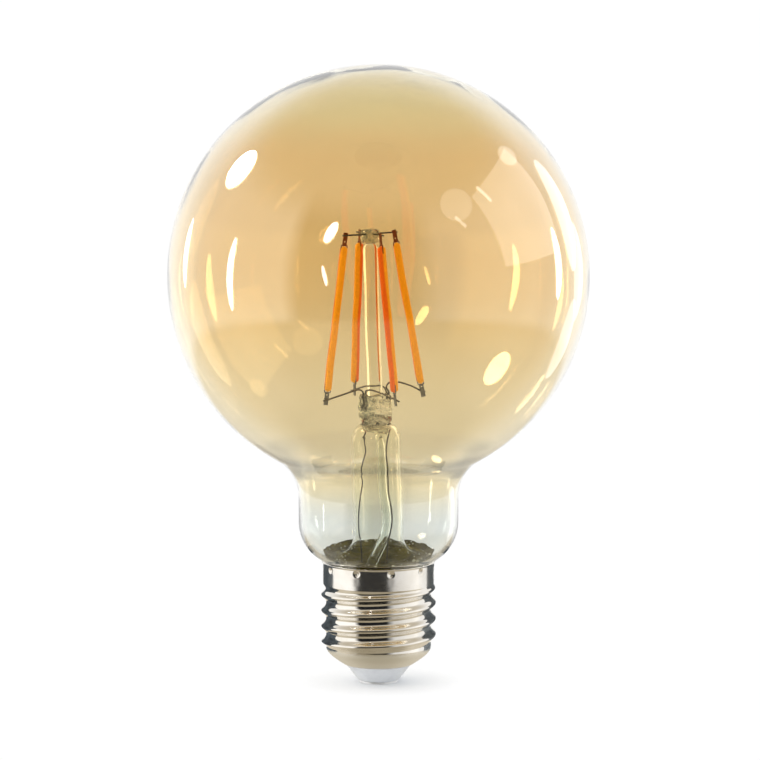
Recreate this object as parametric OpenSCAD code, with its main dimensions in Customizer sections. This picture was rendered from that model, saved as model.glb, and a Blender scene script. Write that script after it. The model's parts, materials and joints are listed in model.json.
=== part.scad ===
// LED filament globe lamp: blown glass globe, four-filament mount on a glass stem,
// and an E27/27 screw cap that holds the driver. Millimetres, +Z from cap to crown.
// The origin is the centre of the contact's end face.

/* [Globe] */
// Diameter of the glass globe
globe_d = 95; // [93:0.5:97]
// Overall length from the contact to the crown
lamp_length = 140; // [138:0.5:142]
// Thickness of the blown glass
glass_wall = 0.8; // [0.6:0.1:0.9]
// Diameter of the neck below the globe
neck_d = 36.2; // [35.6:0.2:36.8]
// Radius of the hollow blend from globe to neck
blend_r = 10; // [9:0.5:11]
// Radius that rounds the neck in towards the cap
shoulder_r = 10; // [9.8:0.1:10.2]
// Height at which the neck starts to round in
neck_foot_z = 36.7; // [36.6:0.1:36.9]

/* [Screw cap] */
// Diameter over the thread crests
thread_d = 26.1; // [26.05:0.05:26.45]
// Thread pitch, seven turns to the inch
thread_pitch = 3.629; // [3.6:0.005:3.65]
// Depth of the rounded thread
thread_depth = 1.05; // [0.9:0.05:1.1]
// Length of the cap from the contact to the rim
cap_length = 27.6; // [27.3:0.1:27.6]
// Diameter of the smooth collar above the thread
collar_d = 25.2; // [25.1:0.1:25.4]
// Thickness of the shell
shell_wall = 0.35; // [0.3:0.05:0.4]

/* [Stem] */
// Diameter of the stem tube
stem_d = 11.4; // [11:0.2:11.8]
// Diameter of the support rod
rod_d = 3.4; // [3:0.2:3.6]
// Lean of the whole mount to one side, in degrees
mount_lean = 1.7; // [0:0.1:2]

/* [Filaments] */
// Length between a filament's two welds
filament_length = 37.1; // [36:0.1:38]
// Ring radius of the upper welds
top_ring_r = 5.9; // [5.5:0.1:6.5]
// Ring radius of the lower welds
bottom_ring_r = 11.8; // [11:0.1:12.5]
// Height of the lower welds
bottom_weld_z = 65.4; // [65.2:0.1:65.6]
// Width of the phosphor coat
coat_w = 1.55; // [1.4:0.05:1.7]
// Thickness of the phosphor coat
coat_t = 1.85; // [1.8:0.05:2]
// Number of LED chips in a filament
chip_count = 28; // [20:1:30]

/* [Hidden] */

$fn = 64;
gap = 0.03; // fitting gap between pieces that touch

// Globe and neck
globe_r = globe_d / 2;
globe_z = lamp_length - globe_r;
neck_r = neck_d / 2;
blend_z = globe_z - sqrt(pow(globe_r + blend_r, 2) - pow(neck_r + blend_r, 2));
blend_angle = atan2(globe_z - blend_z, neck_r + blend_r);
skirt_r = 11.7;
skirt_z = 25;

// Stem
stem_r = stem_d / 2;
stem_wall = 0.9;
stem_sides = 32;
brim_r = 12.6;
brim_z = 33;
brim_drop = 3.4;
brim_seat = 0.15; // how far inside the rim the cement meets the neck
lean_z = 36.3; // the mount leans above this height
stem_top_z = 55;
dome_r = 3.5;
dome_h = 4.2;
plug_r = 3.4;
press_z = 57.2;
press_top_z = 65;
press_w = 7.2;
press_t = 3.6;
press_x = 0.2;
lobe_r = 1.3;
lobe_z = 64.6;
lobe_top_z = lobe_z + lobe_r;
rod_r = rod_d / 2;
button_r = 2.2;
button_round = 0.3; // how much wider than the bead the ball is that rounds its edges
button_h = 3.3;
button_z = 99.9;
exhaust_r = 1.2;
exhaust_bore_r = 0.7;
exhaust_bend = [0.4, -0.9, 30.8];
exhaust_tip = [-2.6, -4, 24.6];

// Filaments: direction of each one about the axis, and the wire pair it hangs on
filament_angles = [203, 113, -67, 23];
filament_side = [-1, 1, -1, 1];
filament_tilt = asin((bottom_ring_r - top_ring_r) / filament_length);
top_weld_z = bottom_weld_z + filament_length * cos(filament_tilt);
clip_w = 1.0;
clip_t = 0.25;
clip_leg = 1.9;
clip_leg_w = 0.14;
clip_bar = 0.2;
clip_spot_d = 0.35;
bottom_tail = 1.2;
top_tail = 0.6;
coat_start = 1.8;
coat_end = filament_length - 2.4;
strip_w = 0.9;
strip_t = 0.4;
strip_inset = 0.4;
chip_w = 0.5;
chip_h = 0.2;
chip_fill = 0.62;

// Wires
anchor_wire_r = 0.19;
support_wire_r = 0.22;
seal_wire_r = 0.25;
lead_wire_r = 0.16;
seal_top_z = 60.6;
left_lead_x = -2.25;
right_lead_x = 3;
lead_pair_offset = 0.25;
wire_gap = 0.1; // room round a wire where it bends inside a channel

// Cap
thread_r = thread_d / 2;
collar_r = collar_d / 2;
thread_phase = 0.06;
thread_low_z = 8.3;
thread_high_z = 22.6;
shell_low_z = 4.2;
shell_low_r = 8;
shell_sides = 48;
rows_per_turn = 8;
lip_flare = 0.25;
lip_h = 0.9;
thread_start = 1; // length over which the thread rises out of the cone
thread_end = 1.3; // length over which it runs out below the collar
contact_r = 4.4;
contact_h = 0.38;
rivet_r = 1;
rivet_h = 6.1;
insulator_line = [
    [1.05, 0.4], [4.4, 0.4], [5.1, 0.8], [7.5, 3.95], [7.55, 4.75],
    [8.5, 5], [9.3, 5.8], [9.2, 6.1], [1.05, 6.1]
];

// Cement and electronics
cement_low_z = 19.8;
cement_top_z = 30.6;
left_lead_pos = [-3.9, -0.4];
right_lead_pos = [2, -1.4];
antenna_pos = [5.2, 6.6];
antenna_top_z = 27.4;
sleeve_r = 11.5;
sleeve_wall = 0.3;
sleeve_z = 8.3;
sleeve_h = 10;
board = [16, 1, 13];
board_z = 6.2;
package = [4.8, 1.5, 3.9];
package_leg_z = 0.8;
chip_resistor = [1.25, 0.55, 2];
capacitor_pos = [4.2, -3.7, 7.6];
capacitor_d = 6.3;
capacitor_h = 9;
pin_r = 0.25;
choke_pos = [-4.3, -2.4, 14.8];
choke_d = 5.4;
choke_flange = 0.8;
choke_gap = 3; // room for the winding between the flanges
choke_drum_d = 2.8;
choke_winding_d = 4.6;
resistor_pos = [-4.4, -2.2, 9.2];
resistor_d = 2.4;
resistor_length = 5.6;
hook_up_wire_r = 0.28;
module_board = [11, 0.8, 9];
module_pos = [-5.5, 4.4, 9.4];
module_can = [7, 1.8, 6];

// ---- geometry helpers ----

function unit(v) = v / norm(v);

// Points of an arc about a centre, from angle a0 to a1
function arc(centre, r, a0, a1, steps) =
    ellipse_arc(centre, r, r, a0, a1, steps);

function ellipse_arc(centre, rx, ry, a0, a1, steps) = [
    for (i = [0 : steps])
        let (a = a0 + (a1 - a0) * i / steps)
            centre + [rx * cos(a), ry * sin(a)]
];

function reversed(list) = [for (i = [len(list) - 1 : -1 : 0]) list[i]];

// A smooth curve through hand-placed points
function curve_point(a, b, c, d, t) = 0.5 * (
    2 * b + (c - a) * t + (2 * a - 5 * b + 4 * c - d) * t * t
    + (3 * b - a - 3 * c + d) * t * t * t
);

function smooth(points, steps) = [
    for (i = [0 : len(points) - 2])
        for (k = [0 : steps - 1])
            curve_point(
                points[max(i - 1, 0)], points[i], points[i + 1],
                points[min(i + 2, len(points) - 1)], k / steps
            ),
    points[len(points) - 1]
];

function tangent(path, i) = unit(path[min(i + 1, len(path) - 1)] - path[max(i - 1, 0)]);

// One ring of a tube; side is a direction that the path never runs along
function ring_at(path, i, r, side, sides) =
    let (t = tangent(path, i), u = unit(cross(side, t)), v = cross(t, u)) [
        for (k = [0 : sides - 1])
            path[i] + r * (cos(360 * k / sides) * u + sin(360 * k / sides) * v)
    ];

// Closes a stack of rings into a solid: capped at both ends, or joined last to first
module skin(rings, loop = false) {
    sides = len(rings[0]);
    count = len(rings);
    last = loop ? count - 1 : count - 2;
    walls = [
        for (i = [0 : last])
            for (k = [0 : sides - 1])
                let (
                    a = i * sides + k,
                    b = i * sides + (k + 1) % sides,
                    c = ((i + 1) % count) * sides + (k + 1) % sides,
                    d = ((i + 1) % count) * sides + k
                )
                    each [[a, c, b], [a, d, c]]
    ];
    ends = loop ? [] : [
        [for (k = [0 : sides - 1]) k],
        [for (k = [sides - 1 : -1 : 0]) (count - 1) * sides + k]
    ];
    polyhedron(points = [for (ring = rings) each ring], faces = concat(walls, ends));
}

module tube(path, r, side = [0, 1, 0], sides = 8)
    skin([for (i = [0 : len(path) - 1]) ring_at(path, i, r, side, sides)]);

// A straight round bar between two points
module bar(from, to, r) {
    v = to - from;
    translate(from)
        rotate([0, acos(v.z / norm(v)), atan2(v.y, v.x)])
            cylinder(r = r, h = norm(v));
}

// Everything above the stem's brim leans to one side
function lean(p) = [
    p.x * cos(mount_lean) - (p.z - lean_z) * sin(mount_lean),
    p.y,
    lean_z + p.x * sin(mount_lean) + (p.z - lean_z) * cos(mount_lean)
];

module leaning()
    translate([0, 0, lean_z])
        rotate([0, -mount_lean, 0])
            translate([0, 0, -lean_z])
                children();

// Places a child in a filament's own frame: z runs from the lower weld to the upper one,
// x points away from the lamp's axis
module at_filament(n)
    leaning()
        rotate([0, 0, filament_angles[n - 1]])
            translate([bottom_ring_r, 0, bottom_weld_z])
                rotate([0, -filament_tilt, 0])
                    children();

// ---- glass ----

function foot_angle(inset) =
    acos((skirt_r - inset - neck_r + shoulder_r) / (shoulder_r - inset));

// Half outline of the bulb, from the crown to the end of the neck, moved in by inset
function glass_line(inset) = concat(
    arc([0, globe_z], globe_r - inset, 90, -blend_angle, 60),
    arc([neck_r + blend_r, blend_z], blend_r + inset, 180 - blend_angle, 180, 12),
    arc([neck_r - shoulder_r, neck_foot_z], shoulder_r - inset, 0, -foot_angle(inset), 14),
    [[skirt_r - inset, skirt_z]]
);

module globe_glass()
    color([0.88, 0.72, 0.45, 0.35])
        rotate_extrude($fn = 96)
            polygon(concat(glass_line(0), reversed(glass_line(glass_wall))));

// Outline of the flared stem tube, moved in by the wall for its inner side
function stem_line(inset) = concat(
    ellipse_arc([brim_r, brim_z], brim_r - stem_r + inset, brim_drop + inset, 270, 180, 12),
    ellipse_arc(
        [stem_r - dome_r, stem_top_z], dome_r - inset, dome_h - inset,
        0, acos((plug_r + gap - stem_r + dome_r) / (dome_r - inset)), 8
    )
);

// The brim stands upright where it meets the neck, and the tube above it leans
module stem_flare() {
    outline = concat(stem_line(0), reversed(stem_line(stem_wall)));
    rings = [
        for (q = outline) [
            for (k = [0 : stem_sides - 1])
                let (a = 360 * k / stem_sides, p = [q.x * cos(a), q.x * sin(a), q.y])
                    p.z > lean_z ? lean(p) : p
        ]
    ];
    color([0.85, 0.9, 0.9, 0.4])
        skin(rings, loop = true);
}

// Flat pinched block at the top of the stem, with its wires passing through it
module stem_press()
    color([0.85, 0.9, 0.88, 0.5])
        leaning()
            difference() {
                union() {
                    translate([0, 0, press_z])
                        cylinder(r = plug_r, h = stem_top_z + dome_h - press_z);
                    translate([press_x, 0, stem_top_z + dome_h - gap])
                        linear_extrude(press_top_z - stem_top_z - dome_h + gap)
                            stadium(press_w, press_t);
                    for (x = [left_lead_x, right_lead_x - lobe_r / 4])
                        translate([x, 0, lobe_z])
                            sphere(r = lobe_r);
                }
                translate([0, 0, press_top_z])
                    cylinder(r = rod_r + gap, h = 2 * lobe_r);
                for (x = [left_lead_x, right_lead_x]) {
                    translate([x, 0, press_z - gap])
                        cylinder(r = seal_wire_r + gap, h = seal_top_z - press_z + gap);
                    translate([x, 0, seal_top_z - gap])
                        linear_extrude(press_top_z + 2 * lobe_r - seal_top_z)
                            stadium(
                                2 * (lead_pair_offset + support_wire_r + gap),
                                2 * (support_wire_r + gap)
                            );
                }
            }

module stadium(w, t) {
    square([w - t, t], center = true);
    for (x = [-1, 1])
        translate([x * (w - t) / 2, 0])
            circle(d = t);
}

exhaust_path = concat(
    smooth([
        lean([1.2, 0, press_z - gap]), [0.75, 0, 50], [1.1, 0.1, 44],
        [1.7, 0.4, 39.5], [1.9, 0.5, 36.5], [1.35, 0.1, 33], exhaust_bend
    ], 3),
    [exhaust_tip]
);

// The tube that the lamp was pumped through, melted shut at its lower end
module exhaust_tube() {
    tip_dir = unit(exhaust_tip - exhaust_bend);
    bore_path = concat(
        [exhaust_path[0] + [0, 0, 1]],
        [for (i = [1 : len(exhaust_path) - 2]) exhaust_path[i]],
        [exhaust_tip - 2 * tip_dir]
    );
    color([0.75, 0.85, 0.8, 0.5])
        difference() {
            tube(exhaust_path, exhaust_r, sides = 12);
            tube(bore_path, exhaust_bore_r, sides = 12);
        }
}

module support_rod()
    color([0.9, 0.9, 0.8, 0.5])
        leaning()
            translate([0, 0, press_top_z + gap])
                cylinder(r = rod_r, h = button_z - press_top_z - 2 * gap);

// Glass bead on top of the rod, with the four anchor wires melted into it
module rod_button()
    color([0.9, 0.85, 0.65, 0.5])
        leaning()
            difference() {
                intersection() {
                    translate([0, 0, button_z])
                        cylinder(r = button_r, h = button_h);
                    translate([0, 0, button_z + button_h / 2])
                        sphere(r = button_r + button_round);
                }
                for (n = [1 : 4])
                    bar(anchor_start(n), anchor_end(n), anchor_wire_r + gap);
            }

// ---- filaments ----

module filament_body() {
    square([coat_w, coat_t - coat_w], center = true);
    for (y = [-1, 1])
        translate([0, y * (coat_t - coat_w) / 2])
            circle(d = coat_w);
}

module strip_solid(margin = 0)
    translate([-strip_w / 2 - margin, -strip_t / 2 - margin, coat_start + strip_inset - margin])
        cube([
            strip_w + 2 * margin, strip_t + 2 * margin,
            coat_end - coat_start - 2 * (strip_inset - margin)
        ]);

module chip_row() {
    span = coat_end - coat_start - 4 * strip_inset;
    step = span / chip_count;
    for (i = [0 : chip_count - 1])
        translate([-chip_w / 2, strip_t / 2, coat_start + 2 * strip_inset + i * step])
            cube([chip_w, chip_h, step * chip_fill]);
}

module filament_coat(n)
    color([0.93, 0.58, 0.12])
        at_filament(n)
            difference() {
                translate([0, 0, coat_start])
                    linear_extrude(coat_end - coat_start)
                        filament_body();
                strip_solid();
                chip_row();
                clip_legs(coat_start, gap);
                translate([0, 0, filament_length])
                    mirror([0, 0, 1])
                        clip_legs(filament_length - coat_end, gap);
            }

module filament_strip(n)
    color("ivory")
        at_filament(n)
            strip_solid();

module led_chips(n)
    color("lightsteelblue")
        at_filament(n)
            chip_row();

// The two legs of a clip, let into the sides of the coat's end
module clip_legs(length, margin = 0)
    for (x = [-1, 1])
        translate([x * (coat_w / 2 - clip_leg_w / 2), 0, length + clip_leg / 2 - clip_bar])
            cube([clip_leg_w, clip_t, clip_leg] + 2 * margin * [1, 1, 1], center = true);

// A clip's tab with its weld spot, and the bar that carries its legs
module clip(tail, length) {
    difference() {
        translate([-clip_w / 2, -clip_t / 2, -tail])
            cube([clip_w, clip_t, tail + length - gap]);
        translate([0, clip_t, length * 0.6])
            rotate([90, 0, 0])
                cylinder(d = clip_spot_d, h = 2 * clip_t, $fn = 24);
    }
    translate([-coat_w / 2, -clip_t / 2, length - clip_bar - gap])
        cube([coat_w, clip_t, clip_bar]);
    clip_legs(length);
}

module bottom_clip(n)
    color("slategray")
        at_filament(n)
            clip(bottom_tail, coat_start);

module top_clip(n)
    color("sienna")
        at_filament(n)
            translate([0, 0, filament_length])
                mirror([0, 0, 1])
                    clip(top_tail, filament_length - coat_end);

// ---- wires of the mount ----

function radial(n) = [cos(filament_angles[n - 1]), sin(filament_angles[n - 1]), 0];
function tangential(n) = [-sin(filament_angles[n - 1]), cos(filament_angles[n - 1]), 0];

function anchor_offset(n) = (clip_t / 2 + anchor_wire_r + gap) * tangential(n);
function anchor_start(n) = 1.1 * radial(n) + anchor_offset(n) + [0, 0, top_weld_z];
function anchor_end(n) = (top_ring_r + 0.9) * radial(n) + anchor_offset(n) + [0, 0, top_weld_z];

module anchor_wire(n)
    color("dimgray")
        leaning()
            bar(anchor_start(n), anchor_end(n), anchor_wire_r);

// The outer wire of each pair belongs to filaments 1 and 4
function support_start(n) = [
    filament_side[n - 1] < 0
        ? left_lead_x + (n == 1 ? -1 : 1) * lead_pair_offset
        : right_lead_x + (n == 4 ? 1 : -1) * lead_pair_offset,
    0, seal_top_z
];

// Way of each wire from the top of its channel in the press to its weld
support_bends = [
    [[-2.6, -0.05, 66.25], [-3.2, -0.5, 66.9], [-4.2, -1, 66.9], [-7, -2.6, 66.2]],
    [[2.55, 0.3, 66.25], [1.9, 1.9, 67.1], [0.2, 3, 67.4], [-1.8, 4.8, 67.1], [-3.7, 8.2, 66.2]],
    [[-2, -0.2, 66.25], [-1.75, -1.3, 66.8], [-0.6, -2.5, 67], [1.6, -5.6, 66.5]],
    [[3.1, -0.05, 66.25], [2.6, -0.1, 67.2], [3, 0.4, 68], [3.8, 0.9, 68.2], [5.7, 1.8, 68], [8.5, 3.3, 66.8]]
];

function support_path(n) =
    let (
        start = support_start(n),
        channel_top = [start.x, start.y, lobe_top_z - 0.6],
        out = (clip_t / 2 + support_wire_r + 3 * gap) * tangential(n),
        weld = bottom_ring_r * radial(n) + out + [0, 0, bottom_weld_z]
    )
        smooth(concat(
            [start, channel_top], support_bends[n - 1], [weld, weld + 0.9 * radial(n) - [0, 0, 0.1]]
        ), 3);

module support_wire(n) {
    path = support_path(n);
    color("dimgray")
        leaning()
            tube(path, support_wire_r, side = unit(cross([0, 0, 1], path[len(path) - 1] - path[0])));
}

module seal_wire(x)
    color("indianred")
        leaning()
            translate([x, 0, press_z])
                cylinder(r = seal_wire_r, h = seal_top_z - press_z - gap);

module lead_wire(x, bends, foot) {
    path = smooth(concat(
        [lean([x, 0, press_z - 3 * gap])], bends,
        [
            [foot.x, foot.y, cement_top_z + 0.2], [foot.x, foot.y, cement_low_z + 1.2],
            [foot.x, foot.y / 2 - 0.15, board_z + board.y + board.z - 1.2],
            [foot.x, -lead_wire_r - gap, board_z + board.z - 1.2]
        ]
    ), 3);
    color([0.3, 0.3, 0.32])
        tube(path, lead_wire_r);
}

// The left lead has the knot of its weld just below the press
module lead_wire_left() {
    lead_wire(left_lead_x, [
        [-3.3, -0.2, 55.9], [-2.9, -0.4, 52.7], [-3.5, -0.6, 50.2], [-3.9, -0.6, 48.4],
        [-3.6, -0.5, 46.2], [-4.1, -0.5, 42.5], [-4.5, -0.4, 38.1], [-4.4, -0.4, 34]
    ], left_lead_pos);
    color([0.3, 0.3, 0.32])
        translate([-3.3, -0.2, 55.9])
            rotate([0, -35, 0])
                cylinder(r = 0.3, h = 0.8, center = true, $fn = 24);
}

module lead_wire_right()
    lead_wire(right_lead_x, [
        [1.9, -1.1, 55], [1.75, -1.7, 52], [2.1, -1.7, 48], [2.2, -1.8, 44],
        [2.8, -1.9, 40.2], [3, -1.9, 36.6], [2.4, -1.6, 33.1]
    ], right_lead_pos);

// ---- cap ----

// Rounded screw thread: how far the crest stands at this angle and height
function thread_wave(angle, z) =
    (1 + cos(360 * ((z - thread_phase) / thread_pitch - angle / 360))) / 2;

function fade(z, from, to) = max(0, min(1, (z - from) / (to - from)));

function shell_radius(angle, z) =
    z < thread_low_z
    ? shell_low_r + (thread_r - thread_depth - shell_low_r)
        * sin(90 * (z - shell_low_z) / (thread_low_z - shell_low_z))
    : z < thread_high_z
    ? let (
        root = thread_r - thread_depth,
        up = fade(z, thread_low_z, thread_low_z + thread_start),
        down = 1 - fade(z, thread_high_z - thread_end, thread_high_z)
    )
        root + (collar_r - root) * (1 - down) + thread_depth * thread_wave(angle, z) * up * down
    : collar_r + lip_flare * pow(fade(z, cap_length - lip_h, cap_length), 2);

module cap_shell() {
    row = thread_pitch / rows_per_turn;
    cone_rows = [0 : 1 / 5 : 0.99];
    thread_rows = floor((thread_high_z - thread_low_z) / row);
    heights = concat(
        [for (t = cone_rows) shell_low_z + t * (thread_low_z - shell_low_z)],
        [for (i = [0 : thread_rows]) thread_low_z + i * (thread_high_z - thread_low_z) / thread_rows],
        [cap_length - 2 * lip_h, cap_length - lip_h, cap_length - lip_h / 2, cap_length]
    );
    rings = function (wall) [
        for (z = heights) [
            for (k = [0 : shell_sides - 1])
                let (a = 360 * k / shell_sides, r = shell_radius(a, z) - wall)
                    [r * cos(a), r * sin(a), z]
        ]
    ];
    color("silver")
        skin(concat(rings(0), reversed(rings(shell_wall))), loop = true);
}

module cap_insulator()
    color("white")
        rotate_extrude()
            polygon(insulator_line);

// Low disc with its rivet through the insulator
module centre_contact()
    color("silver") {
        cylinder(r = contact_r, h = contact_h);
        cylinder(r = rivet_r, h = rivet_h);
    }

// Heat-cured paste between the glass and the cap, with its wires and the tube tip in it
module basing_cement() {
    root_in = thread_r - thread_depth - shell_wall - 2 * gap;
    collar_in = collar_r - shell_wall - 2 * gap;
    neck_in = shoulder_r - glass_wall - gap;
    pocket_angle = acos((brim_r - brim_seat - neck_r + shoulder_r) / neck_in);
    seal_angle = acos((skirt_r - glass_wall - gap - neck_r + shoulder_r) / neck_in);
    brim_rx = brim_r - stem_r + stem_wall + gap;
    brim_ry = brim_drop + stem_wall + gap;
    top_angle = 180 + asin((brim_z - cement_top_z) / brim_ry);
    color([0.45, 0.4, 0.28])
        difference() {
            rotate_extrude()
                polygon(concat(
                    [
                        [0, cement_low_z], [root_in, cement_low_z], [root_in, thread_high_z - thread_end],
                        [collar_in, thread_high_z + 0.5], [collar_in, cap_length - lip_h],
                        [skirt_r + gap, cap_length - lip_h], [skirt_r + gap, skirt_z - gap],
                        [skirt_r - glass_wall - gap, skirt_z - gap]
                    ],
                    arc([neck_r - shoulder_r, neck_foot_z], neck_in, -seal_angle, -pocket_angle, 3),
                    ellipse_arc([brim_r, brim_z], brim_rx, brim_ry, 268, top_angle, 8),
                    [[0, cement_top_z]]
                ));
            for (p = [left_lead_pos, right_lead_pos])
                translate([p.x, p.y, cement_low_z - 1])
                    cylinder(r = lead_wire_r + wire_gap, h = cement_top_z - cement_low_z + 2);
            translate([antenna_pos.x, antenna_pos.y, cement_low_z - 1])
                cylinder(r = lead_wire_r + wire_gap, h = antenna_top_z + 2 * wire_gap - cement_low_z + 1);
            bar(
                exhaust_bend - unit(exhaust_tip - exhaust_bend),
                exhaust_tip + gap * unit(exhaust_tip - exhaust_bend), exhaust_r + gap
            );
        }
}

// Thin tube that keeps the driver off the shell
module insulating_sleeve()
    color([0.9, 0.9, 0.85])
        translate([0, 0, sleeve_z])
            difference() {
                cylinder(r = sleeve_r, h = sleeve_h);
                translate([0, 0, -1])
                    cylinder(r = sleeve_r - sleeve_wall, h = sleeve_h + 2);
            }

// ---- driver, standing on edge inside the cap ----

// A small flat part on one side of the board: x, z of its corner, and its size
module on_board(x, z)
    translate([x, board.y + gap, z])
        children();

module driver_board()
    color("seagreen")
        translate([-board.x / 2, 0, board_z])
            cube(board);

module leads(count, pitch, size)
    for (i = [0 : count - 1])
        translate([i * pitch, 0, 0])
            cube(size);

// A moulded package with its legs on the board, as one part with rows of bent legs
module package_on_legs(count, pitch, leg_w) {
    inset = (package.x - (count - 1) * pitch - leg_w) / 2;
    translate([0, 0, package_leg_z])
        cube(package);
    for (z = [0, package_leg_z + package.z])
        translate([inset, 0, z])
            leads(count, pitch, [leg_w, 0.25, package_leg_z]);
}

module bridge_rectifier()
    color([0.15, 0.15, 0.15])
        on_board(-6.9, 8)
            package_on_legs(2, 2.8, 0.7);

module driver_chip()
    color([0.1, 0.1, 0.1])
        on_board(-0.6, 8)
            package_on_legs(4, 1.27, 0.4);

module chip_resistors()
    color([0.2, 0.2, 0.25])
        for (i = [0 : 4])
            on_board(-6.8 + 2.6 * i, 14.6)
                cube(chip_resistor);

// Sleeved can with the groove rolled in above its seal, on two bent pins
module input_capacitor() {
    color("midnightblue")
        translate(capacitor_pos)
            difference() {
                cylinder(d = capacitor_d, h = capacitor_h);
                translate([0, 0, 0.9])
                    rotate_extrude()
                        translate([capacitor_d / 2 + 0.2, 0])
                            circle(r = 0.4);
            }
    color("silver")
        for (x = [-1.25, 1.25])
            translate(capacitor_pos + [x, 0, -0.8]) {
                cylinder(r = pin_r, h = 0.8);
                sphere(r = pin_r);
                rotate([-90, 0, 0])
                    cylinder(r = pin_r, h = -capacitor_pos.y - gap);
            }
}

// Drum core with its axis across the board
module choke_core()
    color([0.2, 0.2, 0.2])
        translate(choke_pos)
            rotate([90, 0, 0]) {
                for (z = [-choke_gap / 2 - choke_flange, choke_gap / 2])
                    translate([0, 0, z])
                        cylinder(d = choke_d, h = choke_flange);
                cylinder(d = choke_drum_d, h = choke_gap + 2 * gap, center = true);
            }

module choke_winding()
    color([0.72, 0.4, 0.2])
        translate(choke_pos)
            rotate([90, 0, 0])
                difference() {
                    cylinder(d = choke_winding_d, h = choke_gap - 2 * gap, center = true);
                    cylinder(d = choke_drum_d + 2 * gap, h = choke_gap + 1, center = true);
                }

// Wire-ended resistor that opens like a fuse
module fusible_resistor() {
    wire_x = resistor_length / 2 + 0.6;
    color([0.35, 0.55, 0.4])
        translate(resistor_pos)
            rotate([0, 90, 0])
                cylinder(d = resistor_d, h = resistor_length, center = true);
    color("silver") {
        for (x = [-1, 1])
            bar(
                resistor_pos + [x * (resistor_length / 2 - 0.1), 0, 0],
                resistor_pos + [x * wire_x, 0, 0], pin_r
            );
        bar(
            resistor_pos + [-wire_x, -pin_r, 0],
            [resistor_pos.x - wire_x, -gap, resistor_pos.z], pin_r
        );
    }
}

// From the contact's rivet to the resistor
module live_wire()
    color("firebrick")
        tube(smooth([
            [0, -0.5, rivet_h + 0.4], [0.1, -1, 6.8], [-0.2, -1.6, 7.6],
            [-0.3, -2.4, 8.6], resistor_pos + [3.75, 0, 0.5]
        ], 3), hook_up_wire_r, side = [1, 0, 0]);

// From the board to the inside of the shell, above the sleeve
module neutral_wire()
    color("steelblue")
        tube(smooth([
            [-7, -0.35, 17.4], [-7.4, -0.5, 18.4], [-9, -0.7, 19], [-10.6, -0.8, 19.1],
            [-11.35, -0.8, 19.1]
        ], 3), hook_up_wire_r, side = [0, 1, 0]);

// Small board with a shield can, on a row of pins
module wireless_module() {
    pin_length = module_pos.y - board.y - gap;
    color([0.1, 0.2, 0.45])
        translate(module_pos)
            cube(module_board);
    color("lightgray")
        translate(module_pos + [2, module_board.y, 0.5])
            cube(module_can);
    color("gold")
        for (i = [-2 : 2])
            translate([2 * i, board.y + gap, 17.6])
                rotate([-90, 0, 0])
                    cylinder(r = 0.3, h = pin_length, $fn = 24);
}

// Whip of plain wire that ends in the cement, above the metal of the thread
module wireless_antenna()
    color("goldenrod")
        tube(smooth([
            [4.6, 5, 18.5], [4.8, 5.7, 19], [antenna_pos.x, antenna_pos.y, 19.7],
            [antenna_pos.x, antenna_pos.y, 22], [antenna_pos.x, antenna_pos.y, antenna_top_z]
        ], 3), lead_wire_r, side = [1, 0, 0]);

// ---- nodes ----

globe_glass();
stem_flare();
stem_press();
exhaust_tube();
support_rod();
rod_button();
for (n = [1 : 4]) {
    filament_coat(n);
    filament_strip(n);
    led_chips(n);
    top_clip(n);
    bottom_clip(n);
    anchor_wire(n);
    support_wire(n);
}
seal_wire(left_lead_x);  // seal_wire_left
seal_wire(right_lead_x);  // seal_wire_right
lead_wire_left();
lead_wire_right();
cap_shell();
cap_insulator();
centre_contact();
basing_cement();
insulating_sleeve();
driver_board();
bridge_rectifier();
driver_chip();
chip_resistors();
input_capacitor();
choke_core();
choke_winding();
fusible_resistor();
live_wire();
neutral_wire();
wireless_module();
wireless_antenna();
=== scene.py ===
"""Looks of the filament globe lamp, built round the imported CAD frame. Lengths are in metres."""
import json
import math
import random

import bmesh
import bpy
from mathutils import Matrix, Vector, noise

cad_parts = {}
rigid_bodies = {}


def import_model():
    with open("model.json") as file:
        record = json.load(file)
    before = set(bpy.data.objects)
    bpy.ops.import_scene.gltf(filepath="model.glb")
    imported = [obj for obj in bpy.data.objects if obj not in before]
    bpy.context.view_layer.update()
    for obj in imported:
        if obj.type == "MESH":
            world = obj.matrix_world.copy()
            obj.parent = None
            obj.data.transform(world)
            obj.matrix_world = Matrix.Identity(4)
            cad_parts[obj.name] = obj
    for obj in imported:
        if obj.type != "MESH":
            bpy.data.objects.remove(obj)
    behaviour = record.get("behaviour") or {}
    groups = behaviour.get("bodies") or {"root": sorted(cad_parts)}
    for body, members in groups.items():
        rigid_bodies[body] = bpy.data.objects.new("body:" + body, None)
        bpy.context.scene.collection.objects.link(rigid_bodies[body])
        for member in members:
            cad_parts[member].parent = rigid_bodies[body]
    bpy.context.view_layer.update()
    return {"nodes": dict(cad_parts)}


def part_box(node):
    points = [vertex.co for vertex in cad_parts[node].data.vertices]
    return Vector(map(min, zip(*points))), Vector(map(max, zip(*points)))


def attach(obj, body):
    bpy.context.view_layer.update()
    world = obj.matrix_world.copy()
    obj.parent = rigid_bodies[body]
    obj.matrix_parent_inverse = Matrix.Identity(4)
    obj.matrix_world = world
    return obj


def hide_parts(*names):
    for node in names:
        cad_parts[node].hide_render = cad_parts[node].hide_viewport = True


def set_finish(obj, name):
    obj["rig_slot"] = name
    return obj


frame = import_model()

MM = 0.001
rng = random.Random(7)

# ---- sizes, from the frame where it says them ----

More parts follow.
